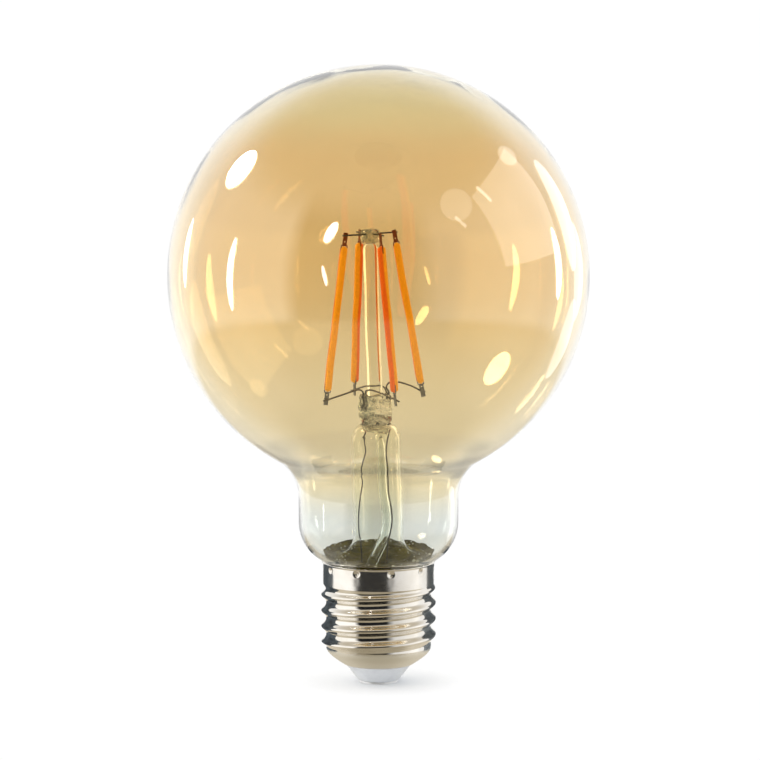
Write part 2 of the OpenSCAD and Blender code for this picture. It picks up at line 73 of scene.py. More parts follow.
glass_low, glass_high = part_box("globe_glass")
GLOBE_R = (glass_high.x - glass_low.x) / 2
GLOBE_Z = glass_high.z - GLOBE_R
GLASS_WALL = 0.8 * MM    # at the neck's foot
BLOWN_WALL = 0.5 * MM    # above it
NECK_R = 18.1 * MM
BLEND_R = 10 * MM
BLEND_Z = GLOBE_Z - math.sqrt((GLOBE_R + BLEND_R) ** 2 - (NECK_R + BLEND_R) ** 2)
SHOULDER_R = 10 * MM
NECK_FOOT_Z = 36.7 * MM
SKIRT_R = 11.7 * MM
SKIRT_Z = glass_low.z
GAP = 0.03 * MM    # between pieces that are melted or pasted together

BRIM_R = 11.9 * MM    # the flare is a little steeper than the CAD's, and ends in the paste
BRIM_Z = 33 * MM
BRIM_DROP = 4.6 * MM
LEAN_Z = 36.3 * MM
STEM_R = 5.7 * MM
STEM_WALL = 0.55 * MM
STEM_TOP_Z = 55 * MM
DOME_R = 3.5 * MM
DOME_H = 4.2 * MM
PLUG_R = 3.1 * MM
PRESS_Z = 57.2 * MM
PRESS_TOP_Z = 65 * MM
LEAD_X = (-2.25 * MM, 3 * MM)
ROD_R = 1.7 * MM
BUTTON_R = 2.2 * MM
BUTTON_H = 3.3 * MM
BUTTON_Z = 99.9 * MM
EXHAUST_R = 1.2 * MM
EXHAUST_BORE_R = 0.7 * MM
MOUNT_LEAN = math.radians(1.7)

FILAMENT_ANGLES = [math.radians(a) for a in (203, 113, -67, 23)]
FILAMENT_LENGTH = 37.1 * MM
TOP_RING_R = 5.9 * MM
BOTTOM_RING_R = 11.8 * MM
BOTTOM_WELD_Z = 65.4 * MM
FILAMENT_TILT = math.asin((BOTTOM_RING_R - TOP_RING_R) / FILAMENT_LENGTH)
COAT_W = 1.55 * MM
COAT_T = 1.85 * MM
COAT_START = 1.8 * MM
COAT_END = FILAMENT_LENGTH - 2.4 * MM
CLIP_T = 0.25 * MM
SUPPORT_WIRE_R = 0.22 * MM

shell_low, shell_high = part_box("cap_shell")
THREAD_R = 13.05 * MM
THREAD_PITCH = 3.629 * MM
THREAD_DEPTH = 1.05 * MM
THREAD_PHASE = 0.06 * MM
THREAD_LOW_Z = 8.3 * MM
THREAD_HIGH_Z = 22.6 * MM
THREAD_END = 1.3 * MM
COLLAR_R = 12.6 * MM
CAP_TOP_Z = shell_high.z
SHELL_LOW_Z = shell_low.z
SHELL_LOW_R = 8 * MM
SHELL_WALL = 0.35 * MM
LIP_FLARE = 0.25 * MM


# ---- mesh helpers ----

def fade(value, low, high):
    """0 up to low, 1 from high on, and straight between them."""
    return max(0.0, min(1.0, (value - low) / (high - low)))


def turn(steps):
    """Even angles round a circle."""
    return [2 * math.pi * k / steps for k in range(steps)]


def even(low, high, steps):
    """Even steps from low to high, with both ends."""
    return [low + (high - low) * i / steps for i in range(steps + 1)]


def lean(p):
    """The mount leans to one side above the neck."""
    x, y, z = p
    if z < LEAN_Z:
        return Vector((x, y, z))
    c, s = math.cos(MOUNT_LEAN), math.sin(MOUNT_LEAN)
    return Vector((x * c - (z - LEAN_Z) * s, y, LEAN_Z + x * s + (z - LEAN_Z) * c))


def arc(centre, rx, ry, start, end, steps):
    """Points of an ellipse's arc from one angle to another, in degrees."""
    points = []
    for i in range(steps + 1):
        a = math.radians(start + (end - start) * i / steps)
        points.append((centre[0] + rx * math.cos(a), centre[1] + ry * math.sin(a)))
    return points


def smooth_curve(points, steps):
    """A smooth curve through given points."""
    points = [Vector(p) for p in points]
    last = len(points) - 1
    curve = []
    for i in range(last):
        a, b, c, d = points[max(i - 1, 0)], points[i], points[i + 1], points[min(i + 2, last)]
        for k in range(steps):
            t = k / steps
            curve.append(0.5 * (2 * b + (c - a) * t + (2 * a - 5 * b + 4 * c - d) * t ** 2
                                + (3 * b - a - 3 * c + d) * t ** 3))
    return curve + [points[last]]


def signed_volume(mesh):
    """Six times the enclosed volume: below 0 if the faces point inwards."""
    total = 0.0
    for face in mesh.polygons:
        corners = [mesh.vertices[i].co for i in face.vertices]
        for b, c in zip(corners[1:], corners[2:]):
            total += corners[0].dot(b.cross(c))
    return total


def add_object(name, verts, faces, material=None, smooth=True):
    mesh = bpy.data.meshes.new(name)
    mesh.from_pydata([tuple(v) for v in verts], [], faces)
    mesh.validate()
    mesh.update()
    if signed_volume(mesh) < 0:
        mesh.flip_normals()
    if smooth:
        mesh.polygons.foreach_set("use_smooth", [True] * len(mesh.polygons))
    piece = bpy.data.objects.new(name, mesh)
    bpy.context.scene.collection.objects.link(piece)
    if material:
        mesh.materials.append(material)
    return piece


def ring_faces(rings, sides, loop=False, cap_ends=True, first=0):
    """Quads between rings of points, closed at both ends or joined last to first."""
    faces = []
    for i in range(rings if loop else rings - 1):
        j = (i + 1) % rings
        for k in range(sides):
            n = (k + 1) % sides
            faces.append((first + i * sides + k, first + i * sides + n,
                          first + j * sides + n, first + j * sides + k))
    if cap_ends and not loop:
        faces.append(tuple(first + k for k in reversed(range(sides))))
        faces.append(tuple(first + (rings - 1) * sides + k for k in range(sides)))
    return faces


def turned(outline, sides):
    """Rings of points: an outline of (radius, height) points turned about the lamp's axis."""
    return [Vector((r * math.cos(a), r * math.sin(a), z)) for r, z in outline for a in turn(sides)]


def lathe(name, outline, sides, material, move=Vector):
    """A solid from a closed outline, with each point moved."""
    verts = [move(p) for p in turned(outline, sides)]
    return add_object(name, verts, ring_faces(len(outline), sides, loop=True), material)


def tube_rings(path, radii, side, sides):
    """Rings of points round a path. side is a direction that the path never runs along."""
    verts = []
    side = Vector(side)
    for i, p in enumerate(path):
        t = (path[min(i + 1, len(path) - 1)] - path[max(i - 1, 0)]).normalized()
        u = side.cross(t).normalized()
        v = t.cross(u)
        for a in turn(sides):
            verts.append(p + radii[i] * (math.cos(a) * u + math.sin(a) * v))
    return verts


def tube(name, path, radii, side, sides, material):
    verts = tube_rings(path, radii, side, sides)
    return add_object(name, verts, ring_faces(len(path), sides), material)


# ---- node helpers ----

class Tree:
    """A node tree, with short ways to make the nodes that the room and the materials share."""

    def __init__(self, owner):
        owner.use_nodes = True
        self.nodes = owner.node_tree.nodes
        self.links = owner.node_tree.links

    def math(self, operation, *values, clamp=False):
        node = self.nodes.new("ShaderNodeMath")
        node.operation = operation
        node.use_clamp = clamp
        for socket, value in zip(node.inputs, values):
            if isinstance(value, (int, float)):
                socket.default_value = value
            else:
                self.links.new(value, socket)
        return node.outputs[0]

    def span(self, source, low, high, to_low=0.0, to_high=1.0):
        """Rescales a value from one range to another, without leaving it."""
        node = self.nodes.new("ShaderNodeMapRange")
        node.interpolation_type = "SMOOTHSTEP"
        for name, value in (("From Min", low), ("From Max", high), ("To Min", to_low), ("To Max", to_high)):
            node.inputs[name].default_value = value
        self.links.new(source, node.inputs["Value"])
        return node.outputs[0]

    def ramp(self, source, stops):
        node = self.nodes.new("ShaderNodeValToRGB")
        elements = node.color_ramp.elements
        while len(elements) < len(stops):
            elements.new(0.5)
        for element, (at, color) in zip(elements, stops):
            element.position = at
            element.color = (*color, 1)
        self.links.new(source, node.inputs[0])
        return node.outputs["Color"]

    def mix(self, factor, a, b, blend="MIX"):
        node = self.nodes.new("ShaderNodeMix")
        node.data_type = "RGBA"
        node.blend_type = blend
        for socket, value in ((node.inputs[0], factor), (node.inputs[6], a), (node.inputs[7], b)):
            if isinstance(value, bpy.types.NodeSocket):
                self.links.new(value, socket)
            else:
                socket.default_value = value if isinstance(value, float) else (*value, 1)
        return node.outputs[2]

    def light_path(self):
        """Two switches: for light that no surface has reflected, and for light that a matt surface has."""
        path = self.nodes.new("ShaderNodeLightPath")
        diffuse_depth = path.outputs["Diffuse Depth"]
        seen = self.math("ADD", path.outputs["Glossy Depth"], diffuse_depth)
        return self.math("LESS_THAN", seen, 0.5), self.math("GREATER_THAN", diffuse_depth, 0.5)


class Look(Tree):
    """A material, with short ways to make the patterns that most materials share."""

    def __init__(self, name, color, roughness, metallic=0.0):
        self.material = bpy.data.materials.new(name)
        super().__init__(self.material)
        self.shader = self.nodes["Principled BSDF"]
        self.set("Base Color", (*color, 1))
        self.set("Roughness", roughness)
        self.set("Metallic", metallic)
        self.place = self.nodes.new("ShaderNodeTexCoord").outputs["Object"]

    def set(self, name, value):
        self.shader.inputs[name].default_value = value

    def drive(self, name, source):
        self.links.new(source, self.shader.inputs[name])

    def noise(self, scale, detail=3.0, stretch=(1, 1, 1), distortion=0.0):
        mapping = self.nodes.new("ShaderNodeMapping")
        mapping.inputs["Scale"].default_value = stretch
        self.links.new(self.place, mapping.inputs["Vector"])
        node = self.nodes.new("ShaderNodeTexNoise")
        node.inputs["Scale"].default_value = scale
        node.inputs["Detail"].default_value = detail
        node.inputs["Distortion"].default_value = distortion
        self.links.new(mapping.outputs[0], node.inputs["Vector"])
        return node.outputs["Fac"]

    def cells(self, scale):
        node = self.nodes.new("ShaderNodeTexVoronoi")
        node.inputs["Scale"].default_value = scale
        self.links.new(self.place, node.inputs["Vector"])
        return node.outputs["Distance"]

    def along(self, axis):
        node = self.nodes.new("ShaderNodeSeparateXYZ")
        self.links.new(self.place, node.inputs[0])
        return node.outputs[axis]

    def bump(self, source, depth):
        node = self.nodes.new("ShaderNodeBump")
        node.inputs["Distance"].default_value = depth
        self.links.new(source, node.inputs["Height"])
        self.drive("Normal", node.outputs[0])


def speckled(name, color, other, scale, roughness, metallic=0.0, depth=0.02 * MM, spread=0.12):
    """A surface of two close colours in fine grain, with an uneven gloss."""
    look = Look(name, color, roughness, metallic)
    grain = look.noise(scale)
    look.drive("Base Color", look.ramp(grain, [(0.3, color), (0.7, other)]))
    look.drive("Roughness", look.span(grain, 0.3, 0.7, roughness - spread / 2, roughness + spread / 2))
    look.bump(grain, depth)
    return look.material


def glass_look(name, color, ior):
    look = Look(name, color, 0.0)
    look.set("Transmission Weight", 1.0)
    look.set("IOR", ior)
    return look


WET_Z = (28.5 * MM, 32.5 * MM)
SUNK_Z = (30 * MM, 34.5 * MM)
PASTE_IOR = 1.03    # seen from the glass
GLASS_IOR = 1.45


def wetted(look):
    """Where the paste wets the glass it hardly mirrors."""
    return look.span(look.along("Z"), *WET_Z, 0.1, 0.5)


def clear_glass(name, tint, edge_tint, wave_depth, sunk=False):
    """Drawn glass. Glass that is sunk in the paste can't be told from it there."""
    look = glass_look(name, tint, GLASS_IOR)
    if sunk:
        look.drive("IOR", look.span(look.along("Z"), *SUNK_Z, PASTE_IOR, GLASS_IOR))
    drawn = look.noise(260, 2, (1, 1, 0.15))
    look.drive("Base Color", look.ramp(drawn, [(0.25, edge_tint), (0.6, tint)]))
    look.drive("Specular IOR Level", wetted(look))
    look.bump(drawn, wave_depth)
    return look.material


# ---- stage: camera, floor and light ----

CAMERA_DISTANCE = 0.9
CAMERA_ELEVATION = math.radians(5.5)
FRAME_PIXELS = 760
GLOBE_IN_FRAME = 423 / FRAME_PIXELS    # share of the frame's width that the globe takes up
CENTRE_IN_FRAME = (-0.002, 0.137)      # the globe's centre from the frame's, in frame widths
SENSOR = 36.0


def make_camera():
    data = bpy.data.cameras.new("camera")
    camera = bpy.data.objects.new("camera", data)
    bpy.context.scene.collection.objects.link(camera)
    bpy.context.scene.camera = camera
    globe = Vector((0, 0, GLOBE_Z))
    back = Vector((0, -math.cos(CAMERA_ELEVATION), math.sin(CAMERA_ELEVATION)))
    camera.location = globe + CAMERA_DISTANCE * back
    half_angle = math.asin(GLOBE_R / CAMERA_DISTANCE)
    focal = GLOBE_IN_FRAME / 2 / math.tan(half_angle)    # in frame widths
    data.sensor_width = SENSOR
    data.lens = SENSOR * focal
    data.clip_start = 0.01
    pitch = math.pi / 2 - CAMERA_ELEVATION - math.atan(CENTRE_IN_FRAME[1] / focal)
    yaw = math.atan(CENTRE_IN_FRAME[0] / focal)
    camera.rotation_euler = (pitch, 0, yaw)


PLATE = (1.02, 1.02, 1.02)    # the white behind the lamp
DARK = (0.012, 0.013, 0.015)
PALE = (1.1, 1.11, 1.12)
LIT = (1.3, 1.29, 1.27)
HALF_LIT = (0.8, 0.8, 0.8)
PAPER = (0.42, 0.37, 0.27)
PAPER_ASIDE = (0.76, 0.69, 0.56)
CEILING = (0.66, 0.6, 0.5)

# The room by the angle from the front in degrees, left negative
WALLS = [
    (-180, PLATE), (-164, PLATE), (-158, PALE), (-116, PALE), (-106, LIT), (-54, LIT), (-44, DARK),
    (18, DARK), (34, HALF_LIT), (92, LIT), (102, PALE), (158, PALE), (164, PLATE), (180, PLATE),
]
TABLE = [
    (-180, PAPER_ASIDE), (-80, PAPER_ASIDE), (-50, PAPER), (50, PAPER), (80, PAPER_ASIDE), (180, PAPER_ASIDE),
]
ON_MATT = [    # what lights matt surfaces
    (-180, (1.2, 1.2, 1.2)), (-85, (2.4, 2.4, 2.37)), (10, (0.3, 0.3, 0.31)), (95, (1.6, 1.68, 1.75)),
    (180, (1.2, 1.2, 1.2)),
]

# Heights between which one part of the room turns into the next, as the sine of the elevation
UNDER_LAMP = (-0.92, -0.75)
TABLE_EDGE = (-0.36, -0.27)
CEILING_EDGE = (0.45, 0.8)


def make_world():
    """White behind the lamp. What the lamp reflects is a dim room with bright walls to both sides."""
    world = bpy.data.worlds.new("studio")
    bpy.context.scene.world = world
    tree = Tree(world)
    place = tree.nodes.new("ShaderNodeTexCoord")
    split = tree.nodes.new("ShaderNodeSeparateXYZ")
    tree.links.new(place.outputs["Generated"], split.inputs[0])
    height = split.outputs["Z"]
    angle = tree.math("ARCTAN2", split.outputs["X"], tree.math("MULTIPLY", split.outputs["Y"], -1))
    share = tree.math("MULTIPLY_ADD", angle, 1 / (2 * math.pi), 0.5)
    walls, table, on_matt = [
        tree.ramp(share, [((degrees + 180) / 360, color) for degrees, color in stops])
        for stops in (WALLS, TABLE, ON_MATT)
    ]
    table = tree.mix(tree.span(height, *UNDER_LAMP), PAPER, table)
    walls = tree.mix(tree.span(height, *TABLE_EDGE), table, walls)
    around = tree.mix(tree.span(height, *CEILING_EDGE), walls, CEILING)
    straight, diffuse = tree.light_path()
    color = tree.mix(straight, tree.mix(diffuse, around, on_matt), PLATE)
    tree.links.new(color, tree.nodes["Background"].inputs["Color"])


FLOOR_RINGS = [0.0005, 0.02, 0.1, 0.5, 2, 6]
FLOOR_Z = -0.02 * MM
SHADOW_R = (0.003, 0.022)    # the floor takes a soft shadow inside the first, and none outside the second


def make_floor():
    """Plain white floor that takes the lamp's soft shadow close to it. The lamp's gloss doesn't show it."""
    look = Look("floor_paper", (0.88, 0.88, 0.88), 0.9)
    length = look.nodes.new("ShaderNodeVectorMath")
    length.operation = "LENGTH"
    look.links.new(look.place, length.inputs[0])
    away = look.span(length.outputs["Value"], *SHADOW_R)
    straight, diffuse = look.light_path()
    glow = look.nodes.new("ShaderNodeEmission")
    look.links.new(look.mix(straight, (0.95, 0.95, 0.95), PLATE), glow.inputs["Color"])
    both = look.nodes.new("ShaderNodeMixShader")
    look.links.new(away, both.inputs[0])
    look.links.new(look.shader.outputs[0], both.inputs[1])
    look.links.new(glow.outputs[0], both.inputs[2])
    shown = look.nodes.new("ShaderNodeMixShader")
    look.links.new(look.math("ADD", straight, diffuse, clamp=True), shown.inputs[0])
    look.links.new(look.nodes.new("ShaderNodeBsdfTransparent").outputs[0], shown.inputs[1])
    look.links.new(both.outputs[0], shown.inputs[2])
    look.links.new(shown.outputs[0], look.nodes["Material Output"].inputs["Surface"])
    sides = 96
    verts = turned([(r, FLOOR_Z) for r in FLOOR_RINGS], sides)
    faces = ring_faces(len(FLOOR_RINGS), sides, cap_ends=False) + [tuple(range(sides))]
    floor = add_object("floor", verts, faces, look.material, smooth=False)


LAMP_DISTANCE = 1.3


def collect(name, *slots):
    """The pieces with some material slots, as a group that lights can be linked to."""
    group = bpy.data.collections.new(name)
    for piece in list(bpy.context.scene.objects):
        if piece.get("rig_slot") in slots:
            group.objects.link(piece)
    return group


def soft_lamp(name, shape, width, height, radiance, on_glass):
    """An evenly bright panel that only the pieces in on_glass show."""
    data = bpy.data.lights.new(name, "AREA")
    data.shape = shape
    data.size = width
    data.size_y = height
    data.energy = radiance * math.pi * data.size * data.size_y
    lamp = bpy.data.objects.new(name, data)
    bpy.context.scene.collection.objects.link(lamp)
    lamp.visible_camera = False
    lamp.visible_diffuse = False
    lamp.light_linking.receiver_collection = on_glass
    return lamp


def softbox(name, spot, size, radiance, on_glass, tilt=0.0, shape="ELLIPSE", distance=LAMP_DISTANCE):
    """A soft light placed so that the globe's front mirrors it at spot, in globe radii right and up.

    size is the highlight's own width along the globe's radius and across it, in globe radii.
    """
    to_camera = Vector((0, -math.cos(CAMERA_ELEVATION), math.sin(CAMERA_ELEVATION)))
    right = Vector((1, 0, 0))
    up = right.cross(-to_camera)
    outward = (spot[0] * right + spot[1] * up).normalized()
    slope = math.asin(math.hypot(*spot))
    toward = math.cos(2 * slope) * to_camera + math.sin(2 * slope) * outward
    radial_axis = (math.cos(2 * slope) * outward - math.sin(2 * slope) * to_camera).normalized()
    # A round mirror shrinks what it shows, by 2 / cos along the radius and by 2 cos across it
    width = 2 * size[0] / math.cos(slope) * distance
    height = 2 * size[1] * math.cos(slope) * distance
    lamp = soft_lamp(name, shape, width, height, radiance, on_glass)
    across_axis = toward.cross(radial_axis)
    facing = Matrix((radial_axis, across_axis, toward)).transposed().to_4x4()
    shown_at = GLOBE_R * (math.cos(slope) * to_camera + math.sin(slope) * outward)
    place = Matrix.Translation(Vector((0, 0, GLOBE_Z)) + shown_at + distance * toward)
    lamp.matrix_world = place @ facing @ Matrix.Rotation(math.radians(tilt), 4, "Z")


def make_lights(on_glass):
    softbox("light_upper_left", (-0.64, 0.5), (0.085, 0.24), 26, on_glass, distance=0.27)
    softbox("light_left_strip", (-0.69, 0.01), (0.03, 0.36), 9, on_glass, -4)
    softbox("light_left_edge", (-0.9, 0.11), (0.02, 0.35), 4, on_glass)
    softbox("light_small_left", (-0.22, 0.2), (0.045, 0.11), 9, on_glass, 12)
    softbox("light_thin_left", (-0.25, 0.0), (0.018, 0.1), 7, on_glass, 12)
    softbox("light_right_strip", (0.84, 0.06), (0.03, 0.36), 5, on_glass, 3)
    softbox("light_low_right", (0.87, -0.3), (0.05, 0.42), 0.7, on_glass)
    softbox("light_right_rim", (0.94, 0.02), (0.045, 0.5), 0.7, on_glass)
    softbox("light_window", (0.66, 0.3), (0.3, 0.5), 0.9, on_glass, 6, "RECTANGLE")
    softbox("light_pane", (0.86, 0.3), (0.06, 0.6), 1.3, on_glass, 4)
    softbox("light_dash_1", (0.49, 0.38), (0.014, 0.1), 2.5, on_glass, 14, "RECTANGLE")
    softbox("light_dash_2", (0.38, 0.25), (0.014, 0.07), 2, on_glass, 20, "RECTANGLE")
    softbox("light_disc_1", (0.36, 0.33), (0.15, 0.16), 0.6, on_glass)
    softbox("light_disc_2", (0.6, 0.56), (0.07, 0.11), 0.9, on_glass)


FLAG_R = 24 * MM
FLAG_Z = (0.5 * MM, 25.5 * MM)
FLAG_END = 134    # degrees from the front


def make_flags():
    """Two dark cards behind the cap's sides. Only gloss shows them, as the dark edges of chrome."""
    dark = speckled("flag_cloth", (0.03, 0.04, 0.055), (0.2, 0.25, 0.3), 60, 0.9)
    grey = speckled("flag_felt", (0.1, 0.12, 0.14), (0.34, 0.38, 0.42), 60, 0.9)
    steps = 16
    for name, side, start, look in (("flag_left", -1, 84, dark), ("flag_right", 1, 93, grey)):
        verts = []
        for z in FLAG_Z:
            for i in range(steps + 1):
                a = math.radians(start + (FLAG_END - start) * i / steps)
                verts.append((side * FLAG_R * math.sin(a), -FLAG_R * math.cos(a), z))
        faces = [(i, i + 1, i + steps + 2, i + steps + 1) for i in range(steps)]
        flag = add_object(name, verts, faces, look)
        flag.visible_camera = False
        flag.visible_diffuse = False
        flag.visible_transmission = False
        flag.visible_shadow = False


WARM = (1, 0.88, 0.66)


def inner_light(name, azimuth, half_angle, heights, distance, radiance, on_glass):
    """A light inside the bulb that only the mount's glass shows, as a bright line along its side."""
    a = math.radians(azimuth - 90)
    low, high = heights
    width = 2 * distance * math.tan(math.radians(half_angle))
    lamp = soft_lamp(name, "RECTANGLE", width, high - low, radiance, on_glass)
    lamp.data.color = WARM
    lamp.location = (distance * math.cos(a), distance * math.sin(a), (low + high) / 2)
    lamp.rotation_euler = (math.pi / 2, 0, a + math.pi / 2)


def make_inner_lights(on_glass):
    rod = (PRESS_TOP_Z - 3 * MM, BUTTON_Z + 6 * MM)
    stem = (26 * MM, 51 * MM)
    inner_light("light_rod_left", -112, 34, rod, 25 * MM, 0.5, on_glass)
    inner_light("light_rod_right", 140, 16, rod, 25 * MM, 1.1, on_glass)
    inner_light("light_stem_right", 97, 9, stem, 15 * MM, 2.2, on_glass)
    inner_light("light_stem_left", -60, 4, stem, 15 * MM, 0.8, on_glass)


# ---- glass ----

def glass_line():
    """Half outline of the bulb's outside, from the crown to the end of the neck."""
    blend_angle = math.degrees(math.atan2(GLOBE_Z - BLEND_Z, NECK_R + BLEND_R))
    foot = math.degrees(math.acos((SKIRT_R - NECK_R + SHOULDER_R) / SHOULDER_R))
    return (
        arc((0, GLOBE_Z), GLOBE_R, GLOBE_R, 89.6, -blend_angle, 150)
        + arc((NECK_R + BLEND_R, BLEND_Z), BLEND_R, BLEND_R, 180 - blend_angle, 180, 24)[1:]
        + arc((NECK_R - SHOULDER_R, NECK_FOOT_Z), SHOULDER_R, SHOULDER_R, 0, -foot, 28)
        + [(SKIRT_R, SKIRT_Z)]
    )


THINNING_Z = (30 * MM, 42 * MM)    # the wall goes from thick to thin between these


def inside_line(outline):
    """The bulb's inside. The wall is thick at the neck's foot and is blown thin above it."""
    last = len(outline) - 1
    points = []
    for i, (r, z) in enumerate(outline):
        (r0, z0), (r1, z1) = outline[max(i - 1, 0)], outline[min(i + 1, last)]
        along = Vector((r1 - r0, z1 - z0)).normalized()
        wall = BLOWN_WALL + (GLASS_WALL - BLOWN_WALL) * (1 - fade(z, *THINNING_Z))
        points.append((max(r + along.y * wall, 0.1 * MM), z - along.x * wall))
    points[-1] = (SKIRT_R - GLASS_WALL, SKIRT_Z)
    return points


AMBER = (0.88, 0.7, 0.42)
AMBER_THIN = (0.9, 0.83, 0.64)
AMBER_CROWN = (0.88, 0.8, 0.54)
CLEAR = (0.81, 0.83, 0.8)
FOLD_PAINTED_SHADE = (0.27, 0.31, 0.36)    # painted shade: where the globe turns into the neck the wall is painted grey, most where it is seen edge-on
PAINTED_RIM_SHEEN = (0.99, 0.98, 0.94)
COAT_Z = (37 * MM, 45.5 * MM)    # where the coat thins out
TONE_Z = (44 * MM, 140 * MM)
FOLD_SHADE_HEIGHTS = (46.4 * MM, 48.6 * MM, 52.4 * MM, 54.6 * MM)


def amber_glass():
    """The coat is even on the globe, thins out towards the neck and ends half-way down it."""
    look = glass_look("amber_glass", AMBER, 1.52)
    z = look.along("Z")
    wisps = look.noise(45, 3, (1, 1, 0.6), 0.6)
    wobble = look.math("MULTIPLY", look.math("SUBTRACT", wisps, 0.5), 2.5 * MM)
    level = look.math("ADD", z, wobble)
    body = look.ramp(look.span(level, *TONE_Z), [
        (0.0, AMBER_THIN), (0.5, AMBER), (0.9, AMBER), (1.0, AMBER_CROWN)])
    coat = look.span(level, *COAT_Z)
    tint = look.mix(coat, CLEAR, body)
    # Painted sheen: the tint turns pale where the globe is seen edge-on, as the pale room mirrored there
    rim = look.nodes.new("ShaderNodeLayerWeight")
    rim.inputs["Blend"].default_value = 0.5
    painted_rim_sheen = look.span(rim.outputs["Facing"], 0.4, 0.8)
    tint = look.mix(painted_rim_sheen, tint, PAINTED_RIM_SHEEN)
    # Painted shade: a grey band round the junction of globe and neck, strongest where the wall is seen
    # edge-on
    above = look.span(z, *FOLD_SHADE_HEIGHTS[:2])
    below = look.span(z, *FOLD_SHADE_HEIGHTS[2:], 1.0, 0.0)
    fold_painted_shade = look.math("MULTIPLY", above, below)
    steep = look.span(rim.outputs["Facing"], 0.5, 0.75, 0.1, 1.0)
    look.drive("Base Color", look.mix(look.math("MULTIPLY", fold_painted_shade, steep), tint, FOLD_PAINTED_SHADE))
    look.drive("Specular IOR Level", wetted(look))
    # The oxide coat mirrors more than bare glass
    look.drive("Coat Weight", look.math("MULTIPLY", coat, 0.5))
    look.set("Coat IOR", 1.7)
    look.set("Coat Roughness", 0.0)
    look.bump(look.noise(38, 2), 0.03 * MM)
    return look.material


def inner_ripple(p):
    """The blown wall is a little uneven inside, most of all at the crown."""
    direction = Vector((p.x, p.y, p.z - GLOBE_Z)).normalized()
    crown = max(0.0, direction.z) ** 6
    depth = (0.03 + 0.22 * crown) * MM
    return p - direction * depth * (1 + noise.noise(p * 120))


def make_globe():
    outer = glass_line()
    inner = inside_line(outer)
    sides = 192
    verts = turned(outer, sides) + [inner_ripple(p) for p in turned(inner[::-1], sides)]
    faces = ring_faces(len(outer) + len(inner), sides)
    globe = add_object("globe_blown", verts, faces, amber_glass())
    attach(globe, "root")
    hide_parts("globe_glass")
    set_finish(globe, "amber_glass")


def stem_line(inset):
    """Half outline of the flared stem tube, moved in by inset."""
    reach = math.degrees(math.acos((PLUG_R - STEM_R + DOME_R) / (DOME_R - inset)))
    return (
        arc((BRIM_R, BRIM_Z), BRIM_R - STEM_R + inset, BRIM_DROP + inset, 270, 180, 28)
        + [(STEM_R - inset, z * MM) for z in (35, 38, 41, 44, 47, 50, 53)]
        + arc((STEM_R - DOME_R, STEM_TOP_Z), DOME_R - inset, DOME_H - inset, 0, reach, 14)
    )


def drawn_glass(p):
    """Lean and a slight unevenness, as of hand-worked tube."""
    amount = 0.1 * MM * noise.noise(Vector((p.x * 90, p.y * 90, p.z * 70)))
    radial = Vector((p.x, p.y, 0))
    if radial.length > 0 and p.z > LEAN_Z:
        p = p + radial.normalized() * amount
    return lean(p)


def make_stem(glass):
    outline = stem_line(0) + stem_line(STEM_WALL)[::-1]
    stem = lathe("stem_tube", outline, 96, glass, drawn_glass)
    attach(stem, "root")
    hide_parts("stem_flare")
    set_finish(stem, "stem_glass")


MELT_VOXEL = 0.14 * MM
COLUMN_SIDES = 24
COLUMN_STEPS = 12


def join_blobs(name, blobs, material, lumps):
    """Melts overlapping solids into one rounded lump of glass."""
    verts, faces = [], []
    for points in blobs:
        faces += ring_faces(COLUMN_STEPS + 1, COLUMN_SIDES, first=len(verts))
        verts += points
    piece = add_object(name, verts, faces, material)
    melt = piece.modifiers.new("melt", "REMESH")
    melt.mode = "VOXEL"
    melt.voxel_size = MELT_VOXEL
    soften = piece.modifiers.new("soften", "SMOOTH")
    soften.factor = 0.7
    soften.iterations = 14
    graph = bpy.context.evaluated_depsgraph_get()
    mesh = bpy.data.meshes.new_from_object(piece.evaluated_get(graph))
    piece.modifiers.clear()
    piece.data = mesh
    for vertex in mesh.vertices:
        vertex.co += vertex.normal * lumps * noise.noise(vertex.co * 900)
    for vertex in mesh.vertices:
        vertex.co = lean(vertex.co)
    mesh.materials.clear()
    mesh.materials.append(material)
    mesh.polygons.foreach_set("use_smooth", [True] * len(mesh.polygons))
    return piece


def column(low, high, rx, ry, x=0.0, y=0.0, round_over=0.5):
    """Rings of an upright elliptic column with rounded ends, for join_blobs."""
    points = []
    height = high - low
    power = 2 + 8 * (1 - round_over)
    for i in range(COLUMN_STEPS + 1):
        t = i / COLUMN_STEPS
        swell = (1 - abs(2 * t - 1) ** power) ** 0.5 if 0 < t < 1 else 0.3
        for a in turn(COLUMN_SIDES):
            at_x, at_y = x + rx * swell * math.cos(a), y + ry * swell * math.sin(a)
            points.append(Vector((at_x, at_y, low + height * t)))
    return points


BUBBLES = [    # centre and radius, in mm
    ((-0.2, -1.1, 64.3), 0.42), ((0.5, -0.5, 62.6), 0.3), ((-0.9, -0.4, 62.2), 0.24),
    ((0.9, 0.3, 63.9), 0.26), ((-0.3, 0.6, 61.2), 0.34), ((1.2, -0.8, 60.3), 0.22),
]


def add_bubbles(piece):
    """Closed air bubbles: their faces point into the air, as the glass's other faces do."""
    mesh = bmesh.new()
    mesh.from_mesh(piece.data)
    for centre, radius in BUBBLES:
        place = Matrix.Translation(lean(Vector(centre) * MM))
        ball = bmesh.ops.create_icosphere(mesh, subdivisions=3, radius=radius * MM, matrix=place)
        faces = {face for vertex in ball["verts"] for face in vertex.link_faces}
        bmesh.ops.reverse_faces(mesh, faces=list(faces))
        for face in faces:
            face.smooth = True
    mesh.to_mesh(piece.data)
    mesh.free()


